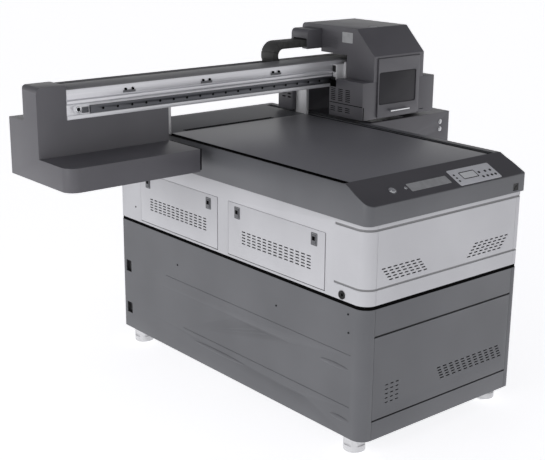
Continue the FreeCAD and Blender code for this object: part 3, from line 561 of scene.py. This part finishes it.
def makeUpperFront():
    look = {"edge": 0.8, "deep": 2.1, "vent": {"rows": 5, "columns": 7, "long": 19, "high": 4.6,
                                               "columnStep": 27, "rowStep": 10.5, "lean": 9},
            "leftVent": 68, "rightVent": 522, "ventTop": 658, "backing": (60, 605, 672)}
    x0, y0, z0, x1, y1, _ = reach("upper_front_panel")
    panel = soften(copyOf("upper_front_panel"), look["edge"])
    carve(panel, block((x0 - 2, y0 - 2, z0 - 2), (x1 + 2, y0 + seam["deep"], seam["high"])))
    for low, high in frontGrooves:
        carve(panel, block((x0 - 2, y0 - 2, low), (x1 + 2, y0 + look["deep"], high)))
    mirrored = dict(look["vent"], lean=-look["vent"]["lean"])
    carve(panel, ventTool(look["leftVent"], look["ventTop"], look["vent"], y0 - 3, 9),
          ventTool(look["rightVent"], look["ventTop"], mirrored, y0 - 3, 9))
    finished(panel, "upper_front", whitePaint, "base", ["upper_front_panel"])
    left, low, high = look["backing"]
    # a black sheet behind the vent slots: painted shade
    shadeSheetBehind((left, y1 + 0.1, low), (x1 - 5, y1 + 0.7, high), "upper_front_vent_painted_shade", "base")


def makeDoors():
    look = {"edge": 1.5, "vent": {"rows": 5, "columns": 13, "long": 21, "high": 4.4, "columnStep": 29,
                                  "rowStep": 10.8},
            "ventLow": 607, "ventIn": {"front": 67, "rear": 66}, "backing": (-6, 380, -5, 56),
            "plateWide": 31, "plateHigh": 44, "plateOut": 1.6, "plateGap": 1.5, "lock": (7, -4, 10)}
    wide, high, out, gap = look["plateWide"] / 2, look["plateHigh"] / 2, look["plateOut"], look["plateGap"]
    lockHalf, lockLow, lockHigh = look["lock"]
    for door in ("front", "rear"):
        node = door + "_service_door"
        x0, y0 = reach(node)[:2]
        ventStart, ventLow = y0 + look["ventIn"][door], look["ventLow"]
        leaf = soften(copyOf(node), look["edge"])
        carve(leaf, sideVentTool(ventStart, ventLow, look["vent"], x0 - 4, 9))
        finished(leaf, door + "_door_leaf", whitePaint, node, [node])
        near, far, low, top = look["backing"]
        # a black sheet behind the door's vent slots: painted shade
        shadeSheetBehind((x0 + 2.1, ventStart + near, ventLow + low), (x0 + 2.6, ventStart + far, ventLow + top),
               door + "_door_vent_backing", node)
        plates = []
        for end in ("front", "rear"):
            latch = "%s_door_%s_latch" % (door, end)
            px0, py0, pz0, _, py1, pz1 = reach(latch)
            middle, mid = (py0 + py1) / 2, (pz0 + pz1) / 2
            plate = extruded(roundedOutline(middle - wide, mid - high, middle + wide, mid + high, 3),
                             "yz", x0 - out, out)
            window = extruded(roundedOutline(py0 - gap, pz0 - gap, py1 + gap, pz1 + gap, 2),
                              "yz", x0 - out - 2, out + 3)
            plates.append(soften(carve(plate, window), 0.5, 1))
            paddle = soften(copyOf(latch), 1.2)
            finished(paddle, latch + "_paddle", greyPlastic, latch, [latch])
            lock = block((px0 - 0.6, middle - lockHalf, mid + lockLow),
                         (px0 + 1, middle + lockHalf, mid + lockHigh))
            finished(soften(lock, 0.3, 1), latch + "_lock", foamSealAndShade, latch)
        finished(joined(plates), door + "_door_latch_plates", greyPlastic, node)


def makeGrommet():
    look = {"along": 109, "high": 559, "radius": 15, "hole": 8, "out": 3}
    x0, along, high = reach("upper_body_shell")[0], look["along"], look["high"]
    ring = drum(look["radius"], look["out"], (x0 - look["out"] / 2, along, high), "x", 40)
    carve(ring, drum(look["hole"], 9, (x0, along, high), "x", 32))
    finished(soften(ring, 0.9, 3), "cable_grommet", blackRubber, "base")
    plug = drum(look["hole"] - 0.3, 2, (x0 - 0.2, along, high), "x", 32)
    finished(sunk(plug, (-1, 0, 0), 2, 1.2), "grommet_plug", blackPlastic, "base")


def makeBackPanel():
    look = {"vent": {"rows": 6, "columns": 12, "long": 18, "high": 5, "columnStep": 32, "rowStep": 12,
                     "lean": 0}, "ventIn": 75, "ventDown": 60, "screwIn": 12, "inlet": (150, 202, 140, 172),
            "rocker": (215, 237, 144, 168)}
    left, right, low, high = rearPanel["edges"]
    near = reach("lower_cabinet_shell")[4] - rearPanel["sunk"]
    face = near + rearPanel["thick"]
    panel = extruded(roundedOutline(left, low, right, high, 8), "xz", near, rearPanel["thick"])
    carve(soften(panel, 0.4, 1), ventTool(left + look["ventIn"], high - look["ventDown"], look["vent"],
                                          near - 2, 6))
    finished(panel, "rear_service_panel", greyPaint, "base")
    screws = [screwHead((x, face, z), (0, 1, 0), 3.4, 1.1)
              for x in (left + look["screwIn"], right - look["screwIn"])
              for z in (low + look["screwIn"], (low + high) / 2, high - look["screwIn"])]
    finished(joined(screws), "rear_panel_screws", blackOxide, "base")
    fittings = []
    for x0, x1, z0, z1 in (look["inlet"], look["rocker"]):
        fitting = extruded(roundedOutline(x0, z0, x1, z1, 4), "xz", face, 1.1)
        fittings.append(sunk(soften(fitting, 0.4), (0, 1, 0), 4, 0.8))
    finished(joined(fittings), "mains_inlet", blackPlastic, "base")


# deck, console and bed
slope = {"front": -6, "low": 875, "back": 111, "top": 933}    # the console's sloping face
slopeAngle = math.atan2(slope["top"] - slope["low"], slope["back"] - slope["front"])


def onSlope(piece):    # a piece made level at the slope's foot is turned to lie on it
    foot = at(0, slope["front"], slope["low"])
    turn = Matrix.Translation(foot) @ Matrix.Rotation(slopeAngle, 4, "X") @ Matrix.Translation(-foot)
    piece.matrix_world = turn @ piece.matrix_world
    return settle(piece)


def upSlope(along):    # how far up the slope a place along y lies, as a y for onSlope
    return slope["front"] + (along - slope["front"]) / math.cos(slopeAngle)


lipSocket = {"edges": (706, 734, 819, 845), "round": 3}


def makeDeck():
    look = {"edge": 3, "socketGap": 0.6, "seal": (92, 535), "sealSteps": (2.5, 16), "sealWide": 5.4,
            "sealOut": 1.5, "trims": (-4.5, 722.5), "trimWide": 6, "trimOut": 0.6, "trim": (112, 1339)}
    cover, gap = soften(copyOf("deck_cover"), look["edge"], 3, 25), look["socketGap"]
    left, right, low, high = lipSocket["edges"]
    carve(cover, extruded(roundedOutline(left - gap, low - gap, right + gap, high + gap,
                                         lipSocket["round"] + gap), "xz", slope["front"] - 4, 12))
    finished(cover, "deck_cover_shell", deckPaint, "base", ["deck_cover"])
    top, back = slope["top"], reach("bed_table")[4]
    left, right = look["seal"]
    seals = [soften(block((left, back + step, top - 1),
                          (right, back + step + look["sealWide"], top + look["sealOut"])), 1)
             for step in look["sealSteps"]]
    finished(joined(seals), "bed_rear_seal", foamSealAndShade, "base")
    near, far = look["trim"]
    trims = [block((x, near, top - 0.5), (x + look["trimWide"], far, top + look["trimOut"]))
             for x in look["trims"]]
    finished(joined(trims), "slot_edge_trims", foamSealAndShade, "base")


def makeConsole():
    look = {"sheet": (-1, 766, -3, 109), "sheetThick": 0.8, "sheetRound": 26, "keypad": (434, 648, 0, 73),
            "thick": 1.4, "screen": (45, 115, 29, 58), "bezel": 3.5, "keyHigh": 1.4,
            "smallKeys": [(14, 22), (14, 38), (14, 54)], "plate": (220, 411, 22, 56),
            "keys": [(134, 20), (156, 20), (178, 20), (198, 20), (134, 44), (166, 44), (192, 44)],
            "button": (146, 42), "rim": 14, "rimHole": 11.3, "lamp": (205, 40), "lampRadius": 6}
    left, right, near, far = look["sheet"]
    turn = look["sheetRound"]
    sheet = extruded(roundedOutline(left, upSlope(near), right, upSlope(far), (turn, 2, 2, turn), 8), "xy",
                     slope["low"], look["sheetThick"])
    buttonX, buttonY = look["button"][0], upSlope(look["button"][1])
    carve(sheet, drum(look["rimHole"] + 0.3, 9, (buttonX, buttonY, slope["low"]), "z", 40))
    # the sloping face carries the darker copy of the deck paint: painted shade
    finished(onSlope(soften(sheet, 0.3, 1)), "console_face", consoleShadedPaint, "base")
    base = slope["low"] + look["sheetThick"]
    left, right, near, far = look["keypad"]
    near, far, face = upSlope(near), upSlope(far), base + look["thick"]
    keypad = extruded(roundedOutline(left, near, right, far, 6), "xy", base, look["thick"])
    finished(onSlope(soften(keypad, 0.5, 2)), "keypad_panel", keypadFoil, "base")
    x0, x1, y0, y1 = look["screen"]
    x0, x1, y0, y1, rim = left + x0, left + x1, near + y0, near + y1, look["bezel"]
    bezel = extruded(roundedOutline(x0 - rim, y0 - rim, x1 + rim, y1 + rim, 4), "xy", face, 0.9)
    finished(onSlope(sunk(bezel, (0, 0, 1), 3, 0.5)), "screen_bezel", blackPlastic, "base")
    glass = extruded(roundedOutline(x0, y0, x1, y1, 3), "xy", face + 0.2, 0.5)
    finished(onSlope(soften(glass, 0.15, 1)), "screen_glass", screenGlass, "base")
    keys = []
    for spots, radius in ((look["keys"], 5.2), (look["smallKeys"], 4.2)):
        for x, y in spots:
            key = drum(radius, look["keyHigh"], (left + x, near + y, face + 0.5), "z", 24)
            keys.append(onSlope(soften(key, 0.5, 2)))
    finished(joined(keys), "keypad_keys", blackPlastic, "base")
    left, right, near, far = look["plate"]
    plate = extruded(roundedOutline(left, upSlope(near), right, upSlope(far), 3), "xy", base, 0.8)
    finished(onSlope(sunk(soften(plate, 0.2, 1), (0, 0, 1), 2, 0.2)), "blank_name_plate", labelFoil, "base")
    lamp = drum(look["lampRadius"], 3, (look["lamp"][0], upSlope(look["lamp"][1]), base + 1), "z", 32)
    finished(onSlope(sunk(soften(lamp, 0.8), (0, 0, 1), 1.6, 0.8)), "status_lamp", chrome, "base")
    rim = drum(look["rim"], 1.6, (buttonX, buttonY, base + 0.6), "z", 40)
    carve(rim, drum(look["rimHole"], 9, (buttonX, buttonY, base), "z", 40))
    finished(onSlope(soften(rim, 0.4, 2)), "start_button_rim", chrome, "base")
    finished(soften(copyOf("start_button"), 1.2, 3), "start_button_cap", chrome, "start_button",
             ["start_button"])


def makeLipSocket():
    left, right, low, high = lipSocket["edges"]
    socket = extruded(roundedOutline(left, low, right, high, lipSocket["round"]), "xz",
                      slope["front"] + 0.4, 3)
    finished(sunk(soften(socket, 0.4, 1), (0, -1, 0), 5, 2), "lip_socket", blackPlastic, "base")


def makeBed():
    look = {"edge": 1.2, "seal": 1.2}
    x0, y0, z0, x1, y1, z1 = reach("bed_table")
    finished(soften(copyOf("bed_table"), look["edge"], 3), "bed_plate", bedPlate, "bed",
             ["bed_table"])
    half = look["seal"] / 2
    strips = [block((x - half, y0 + 1, z0 + 1), (x + half, y1 - 1, z1 - look["edge"])) for x in (x0, x1)]
    finished(joined(strips), "bed_edge_seals", foamSealAndShade, "bed")


# gantry
def makeUprights():
    finished(soften(copyOf("gantry_uprights"), 1.2), "upright_plates", castAlloy, "gantry",
             ["gantry_uprights"])


def makeBeam():
    look = {"clips": (-239, 102, 441), "clipHalf": 25, "clipLow": 1133, "clipHigh": 1141, "clipOut": 5,
            "screwStep": 15, "lip": (-399, 1149), "lipLows": (1105.6, 1107.1), "lipHigh": 1.3,
            "bolts": 25, "firstBolt": -350, "boltStep": 60}
    y0 = reach("gantry_beam")[1]
    finished(soften(copyOf("gantry_beam"), 0.8, 2, 30), "beam_extrusion", beamAlloy, "gantry",
             ["gantry_beam"])
    face, half, out = y0 + 2, look["clipHalf"], look["clipOut"]
    bars, heads = [], []
    for x in look["clips"]:
        bars.append(soften(block((x - half, face - out, look["clipLow"]),
                                 (x + half, face + 1, look["clipHigh"])), 1))
        for side in (-look["screwStep"], look["screwStep"]):
            heads.append(screwHead((x + side, face, look["clipHigh"] + 4), (0, -1, 0), 4.4, out))
    finished(joined(bars), "beam_clips", greyPlastic, "gantry")
    finished(joined(heads), "beam_clip_screws", foamSealAndShade, "gantry")
    left, right = look["lip"]
    lips = [block((left, y0 + 6.5, low), (right, y0 + 9, low + look["lipHigh"])) for low in look["lipLows"]]
    finished(joined(lips), "belt_slot_lips", beamAlloy, "gantry")
    _, face, low, _, _, high = reach("beam_rail")
    finished(soften(copyOf("beam_rail"), 0.8), "rail_strip", railSteel, "gantry",
             ["beam_rail"])
    bolts = [screwHead((look["firstBolt"] + look["boltStep"] * i, face + 0.1, (low + high) / 2),
                       (0, -1, 0), 4.6, 0.8) for i in range(look["bolts"])]
    finished(joined(bolts), "rail_bolts", foamSealAndShade, "gantry")
    finished(soften(copyOf("chain_tray"), 0.8), "cable_tray", trayPaintAndGrooveShade, "gantry",
             ["chain_tray"])


def makeIdler():
    look = {"radius": 11, "hole": 6.5, "out": 6, "washer": 18, "washerOut": 2, "block": (2, 26, -14, 6),
            "blockOut": 5}
    x0, _, z0, x1, _, z1 = reach("belt_idler_pulley")
    middle, high, face = (x0 + x1) / 2, (z0 + z1) / 2, reach("gantry_beam")[1] + 6
    washer = drum(look["washer"], look["washerOut"], (middle, face - look["washerOut"] / 2, high), "y", 48)
    finished(soften(washer, 0.5), "idler_washer", beamAlloy, "gantry")
    ring = drum(look["radius"], look["out"], (middle, face - look["out"] / 2, high), "y", 40)
    carve(ring, drum(look["hole"], 20, (middle, face, high), "y", 40))
    finished(soften(ring, 1.2, 3), "idler_ring", chrome, "gantry")
    hub = sunk(drum(look["hole"] - 0.5, 4, (middle, face - 3, high), "y", 32), (0, -1, 0), 4, 1.5)
    finished(hub, "idler_cap", blackOxide, "gantry")
    left, right, low, top = look["block"]
    side = block((x1 + left, face - look["blockOut"], high + low), (x1 + right, face, high + top))
    finished(sunk(soften(side, 0.8), (0, -1, 0), 5, 0.8), "belt_tension_block", railSteel, "gantry")


def makeTrucks():
    look = {"seal": 5, "truckWide": 80, "sealHigh": 28}
    trucks, seals = soften(copyOf("carriage_trucks"), 1.5), []
    x0, y0, z0, x1, y1, z1 = reach("carriage_trucks")
    wide, high = look["truckWide"], look["sealHigh"]
    for left in (x0, x1 - wide):
        for start in (left - look["seal"], left + wide):
            for low, top in ((z0 + 2, z0 + 2 + high), (z1 - 2 - high, z1 - 4)):
                seal = block((start, y0 + 3, low), (start + look["seal"], y1 - 3, top))
                seals.append(soften(seal, 1.5))
    finished(trucks, "guide_trucks", castAlloy, "carriage", ["carriage_trucks"])
    finished(joined(seals), "truck_end_seals", blackRubber, "carriage")


def makeEndHousings():
    look = {"edge": 2.5, "capRound": 22, "capFront": 60, "brush": (11, 6, 188, 4, 82),
            "vent": {"rows": 5, "columns": 2, "long": 22, "high": 6, "columnStep": 34, "rowStep": 14},
            "ventFront": 1166, "ventLow": 990, "ventFace": 690, "rim": 10, "rimHole": 7.6, "rimOut": 1.6}
    x0, y0, z0, x1, y1, z1 = reach("left_end_housing")
    left, turn = soften(copyOf("left_end_housing"), look["edge"], 3), look["capRound"]
    edge = block((x0 - 1, y0 + look["capFront"], z1 - turn), (x0 + turn, y1 + 2, z1 + 1))
    carve(left, carve(edge, drum(turn, 900, (x0 + turn, y1, z1 - turn), "y", 64)))
    finished(left, "left_housing_cover", hoodPaint, "gantry", ["left_end_housing"])
    # a black strip on the shelf's end face: painted shadow for the gap between shelf and deck
    out, near, far, low, high = look["brush"]
    brush = soften(block((x1, y0 + near, z0 + low), (x1 + out, y0 + far, z0 + high)), 1)
    finished(brush, "shelf_end_painted_shadow", foamSealAndShade, "gantry")
    right, y0 = soften(copyOf("right_end_housing"), look["edge"], 3), reach("right_end_housing")[1]
    carve(right, sideVentTool(look["ventFront"], look["ventLow"], look["vent"], look["ventFace"] - 4, 9))
    finished(right, "right_housing_cover", hoodPaint, "gantry", ["right_end_housing"])
    rims, out = [], look["rimOut"]
    for node in ("upper_push_button", "lower_push_button"):
        x0, _, z0, x1, _, z1 = reach(node)
        middle, high = (x0 + x1) / 2, (z0 + z1) / 2
        cap = soften(copyOf(node), 1.6, 3)
        finished(cap, node + "_cap", whiteNylon, node, [node])
        rim = drum(look["rim"], out, (middle, y0 - out / 2, high), "y", 40)
        rims.append(soften(carve(rim, drum(look["rimHole"], 8, (middle, y0, high), "y", 40)), 0.4))
    finished(joined(rims), "push_button_rims", chrome, "gantry")


# cable chain
chain = {"pitch": 30, "joint": 0.15, "edge": 0.9, "bends": 5}


# closed links in a row: each link's covers meet the next one's along a fine joint
def chainLinks(left, right, y0, y1, low, high):
    count = int((right - left) // chain["pitch"])
    step = (right - left) / count
    return [soften(block((left + i * step + chain["joint"], y0, low),
                         (left + (i + 1) * step - chain["joint"], y1, high)), chain["edge"])
            for i in range(count)]


def makeChain():
    x0, y0, z0, x1, y1, z1 = reach("chain_bend")
    ux0, uy0, uz0, ux1, uy1, uz1 = reach("chain_upper_run")
    high, radius = uz1 - uz0, (z1 - z0) / 2
    middle, level = x0 + radius, z0 + radius
    lower = chainLinks(middle, x1, y0, y1, z0, z0 + high)
    share, parts = math.pi / chain["bends"], (0.01, 0.25, 0.5, 0.75, 0.99)
    for i in range(chain["bends"]):
        outline = []
        for distance, order in ((radius, parts), (radius - high, parts[::-1])):
            for part in order:
                turn = math.pi / 2 + share * (i + part)
                outline.append((middle + distance * math.cos(turn), level + distance * math.sin(turn)))
        lower.append(soften(extruded(outline, "xz", y0, y1 - y0), chain["edge"], 2, 35))
    finished(joined(lower), "chain_bend_links", chainNylon, "chain", ["chain_bend"])
    run = finished(joined(chainLinks(ux0, ux1, uy0, uy1, uz0, uz1)), "chain_run_links", chainNylon,
                   "carriage", ["chain_upper_run"])
    # the bend follows at half speed, so the run loses half of the travel
    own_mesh(run)
    finished(soften(copyOf("chain_arm_box"), 2.5, 3), "chain_arm_cover", hoodPaint, "carriage",
             ["chain_arm_box"])


# carriage
def makeHood():
    look = {"edge": 2.5, "label": (906, 967, 1236, 1278), "labelOut": 0.7, "knob": (905, 906),
            "knobRadius": 18, "knobDeep": 5, "louvre": (990, 1080, 1206, 1208.6), "louvreRows": 7,
            "louvreStep": 7, "rear": (60, 120, 1215, 1218), "rearColumnStep": 108, "rearRows": 6,
            "rearStep": 9}
    x0, y1, z1 = [reach("carriage_hood")[i] for i in (0, 4, 5)]
    hood = soften(copyOf("carriage_hood"), look["edge"], 3, 35)
    carve(hood, drum(look["knobRadius"] + 1.5, 2 * look["knobDeep"], (*look["knob"], z1), "z", 40))
    near, far, low, high = look["louvre"]
    louvre = slot(near, low, far, high, "yz", x0 - 3, 5.4)
    carve(hood, repeated(louvre, look["louvreRows"], (0, 0, look["louvreStep"])))
    left, right, low, high = look["rear"]
    rear = slot(x0 + left, low, x0 + right, high, "xz", y1 - 8, 12)
    repeated(rear, 2, (look["rearColumnStep"], 0, 0))
    carve(hood, repeated(rear, look["rearRows"], (0, 0, look["rearStep"])))
    finished(hood, "hood_shell", hoodPaint, "carriage", ["carriage_hood"])
    near, far, low, high = look["label"]
    label = extruded(roundedOutline(near, low, far, high, 3), "yz", x0 - look["labelOut"], look["labelOut"])
    finished(sunk(label, (-1, 0, 0), 2, 0.2), "blank_hood_label", labelFoil, "carriage")
    knob = drum(look["knobRadius"], look["knobDeep"],
                (*look["knob"], z1 - look["knobDeep"] / 2 - 0.2), "z", 40)
    finished(sunk(soften(knob, 1.2, 3), (0, 0, 1), 5, 1.5), "hood_top_knob", labelFoil, "carriage")


def makeLampHousings():
    look = {"edge": 1.8, "vent": {"rows": 7, "columns": 3, "long": 28, "high": 3.6, "columnStep": 43,
                                  "rowStep": 7.6},
            "under": {"rows": 3, "columns": 3, "long": 28, "high": 3.6, "columnStep": 43, "rowStep": 8},
            "ventY": 852, "ventZ": 1008, "underZ": 964, "backing": (-7, 120), "seam": 997, "seamHigh": 3,
            "seamDeep": 1.4, "joint": (4, 9, 1.8), "notch": (1062, 957, 1090, 960)}
    x0, y0, z0, x1, y1, z1 = reach("lamp_housings")
    housings = soften(copyOf("lamp_housings"), look["edge"])
    for x in (x0 - 4, x1 - 5):
        carve(housings, sideVentTool(look["ventY"], look["ventZ"], look["vent"], x, 9),
              sideVentTool(look["ventY"], look["underZ"], look["under"], x, 9))
    seamLow, deep = look["seam"], look["seamDeep"]
    seamHigh, (left, right, sunkBy) = seamLow + look["seamHigh"], look["joint"]
    carve(housings, block((x0 - 1, y0 - 2, seamLow), (x0 + deep, y1 + 2, seamHigh)),
          block((x1 - deep, y0 - 2, seamLow), (x1 + 1, y1 + 2, seamHigh)),
          block((x0 + left, y0 - 1, z0 - 1), (x0 + right, y0 + sunkBy, seamLow)),
          slot(*look["notch"], "xz", y0 - 2, 6))
    finished(housings, "lamp_housing_covers", hoodPaint, "carriage", ["lamp_housings"])
    joints = [block((x0 + 0.4, y0 + 2, seamLow), (x0 + deep, y1 - 2, seamHigh)),
              block((x1 - deep, y0 + 2, seamLow), (x1 - 0.4, y1 - 2, seamHigh)),
              block((x0 + left, y0 + 0.5, z0 + 1), (x0 + right, y0 + sunkBy, seamLow))]
    finished(joined(joints), "lamp_housing_joints", foamSealAndShade, "carriage")
    near, far = look["backing"]
    # a black sheet behind the lamp housing's vent slots: painted shade
    shadeSheetBehind((x0 + 2.2, look["ventY"] + near, look["underZ"] - 4), (x0 + 2.8, look["ventY"] + far, z1 - 6),
           "lamp_vent_painted_shade", "carriage")


def makeHatch():
    look = {"jambOut": 6, "jambIn": 6, "jambBehind": 0.2, "jambThick": 1}
    x0, _, z0, x1, y1, z1 = reach("hatch")
    out, rim, front = look["jambOut"], look["jambIn"], y1 + look["jambBehind"]
    jamb = block((x0 - out, front, z0 - out), (x1 + out, front + look["jambThick"], z1 + out))
    carve(jamb, block((x0 + rim, front - 2, z0 + rim), (x1 - rim, front + 4, z1 - rim)))
    finished(jamb, "hatch_jamb", hoodPaint, "carriage")
    finished(soften(copyOf("hatch"), 2, 3), "hatch_frame", hoodPaint, "hatch", ["hatch"])
    finished(soften(copyOf("hatch_window"), 0.6), "smoked_window", smokedAcrylic, "hatch",
             ["hatch_window"])
    finished(soften(copyOf("hatch_handle"), 0.8), "hatch_bar_handle", chrome, "hatch",
             ["hatch_handle"])


# castors
def makeCastors():
    look = {"edge": 1.5, "windowWide": 40, "windowHeights": (30, 46), "deep": 5, "plateRim": 3}
    half, (low, high), deep = look["windowWide"] / 2, look["windowHeights"], look["deep"]
    for end in ("front", "rear"):
        for side, outward in (("left", -1), ("right", 1)):
            node = "castor_%s_%s" % (end, side)
            x0, y0, _, x1, y1, _ = reach(node)
            x, y, radius = (x0 + x1) / 2, (y0 + y1) / 2, (y1 - y0) / 2 - look["plateRim"]
            housing = soften(copyOf(node), look["edge"], 2, 35)
            carve(housing, block((x - half, y - radius - 2, low), (x + half, y - radius + deep, high)),
                  sideBlock(x, outward, (radius + 2, radius - deep), (y - half, y + half), (low, high)))
            finished(housing, node + "_housing", whiteNylon, node, [node])


makeLowerCabinet()
makeLowerFront()
makeUpperCabinet()
makeUpperFront()
makeDoors()
makeGrommet()
makeBackPanel()
makeSeam()
print("cabinet made")
makeDeck()
makeConsole()
makeLipSocket()
makeBed()
print("deck and bed made")
makeUprights()
makeBeam()
makeIdler()
makeTrucks()
makeEndHousings()
makeChain()
print("gantry made")
makeHood()
makeLampHousings()
makeHatch()
makeCastors()
print("carriage and castors made")

# the nodes that stay as they are, with their finishes
kept = {
    "base_frame": framePaint, "bed_lift_jacks": castAlloy, "bed_lift_rods": groundSteel,
    "vacuum_blower": blackPlastic, "bed_side_guides": groundSteel, "electronics_box": zincSheet,
    "door_hinge_pins": groundSteel, "left_drive_screw": groundSteel, "right_drive_screw": groundSteel,
    "gantry_blocks": castAlloy, "carriage_belt": blackRubber, "belt_idler_pulley": castAlloy,
    "belt_drive_pulley": castAlloy, "carriage_motor": blackOxide, "carriage_plate": castAlloy,
    "uv_lamps": lampGlass, "print_heads": blackPlastic, "capping_station": whiteNylon,
}
for spot in ("front_left", "front_right", "rear_left", "rear_right"):
    kept["castor_wheels_" + spot] = blackPlastic
    kept["levelling_pad_" + spot] = blackRubber
for node, finish in kept.items():
    coated(frame["nodes"][node], finish)
print("nodes coated:", len(kept))

# studio
studio = {"floorWide": 60, "floor": "#F4F4F5", "glow": 0.8, "low": 0.15, "high": 0.45, "bright": "#FFFFFF",
          "dim": "#7C7C80", "aim": (0, 0, 0.7)}
deselectAll()
bpy.ops.mesh.primitive_plane_add(size=studio["floorWide"], location=(0, 0, -0.0005))
floor = bpy.context.object
floor.name = "studio_floor"
floorPaper = newFinish("white_paper", {"Base Color": colour(studio["floor"]), "Roughness": 0.9,
                                       "Emission Color": colour(studio["floor"]),
                                       "Emission Strength": studio["glow"]})[0]
coated(floor, floorPaper)

# a white sweep at the horizon that falls to a dim ceiling
world = bpy.data.worlds.new("studio")
bpy.context.scene.world = world
world.use_nodes = True
skyTree = world.node_tree
direction = addNode(skyTree, "ShaderNodeTexCoord").outputs["Generated"]
height = addNode(skyTree, "ShaderNodeSeparateXYZ", links={"Vector": direction}).outputs["Z"]
sweep = addNode(skyTree, "ShaderNodeValToRGB", links={"Fac": height})
nearHorizon, overhead = sweep.color_ramp.elements
nearHorizon.position, nearHorizon.color = studio["low"], colour(studio["bright"])
overhead.position, overhead.color = studio["high"], colour(studio["dim"])
skyTree.links.new(sweep.outputs["Color"], skyTree.nodes["Background"].inputs["Color"])

softboxes = {    # place, size and power of each light, all aimed at the machine's middle
    "left_softbox": {"place": (-4.5, -0.5, 1.6), "size": 3.0, "power": 35},
}
for name, look in softboxes.items():
    deselectAll()
    bpy.ops.object.light_add(type="AREA", location=look["place"])
    lamp = bpy.context.object
    lamp.name = name
    lamp.data.size = look["size"]
    lamp.data.energy = look["power"]
    aim = Vector(studio["aim"]) - Vector(look["place"])
    lamp.rotation_euler = aim.to_track_quat("-Z", "Y").to_euler()

view = {"place": (-2.7275, -3.0816, 1.7901), "yaw": 0.702, "pitch": 0.286, "roll": 0.010, "lens": 74.15}
deselectAll()
bpy.ops.object.camera_add(location=view["place"])
camera = bpy.context.object
camera.data.lens = view["lens"]
camera.data.sensor_width = 36
yaw, pitch, roll = view["yaw"], view["pitch"], view["roll"]
forward = Vector((math.sin(yaw) * math.cos(pitch), math.cos(yaw) * math.cos(pitch), -math.sin(pitch)))
right = Vector((math.cos(yaw), -math.sin(yaw), 0))
up = right.cross(forward)
rolledRight = right * math.cos(roll) + up * math.sin(roll)
rolledUp = up * math.cos(roll) - right * math.sin(roll)
facing = Matrix((rolledRight, rolledUp, -forward)).transposed()
camera.rotation_euler = facing.to_euler()
bpy.context.scene.camera = camera
bpy.context.scene.view_settings.view_transform = "Standard"
print("studio lit")

bpy.context.view_layer.update()
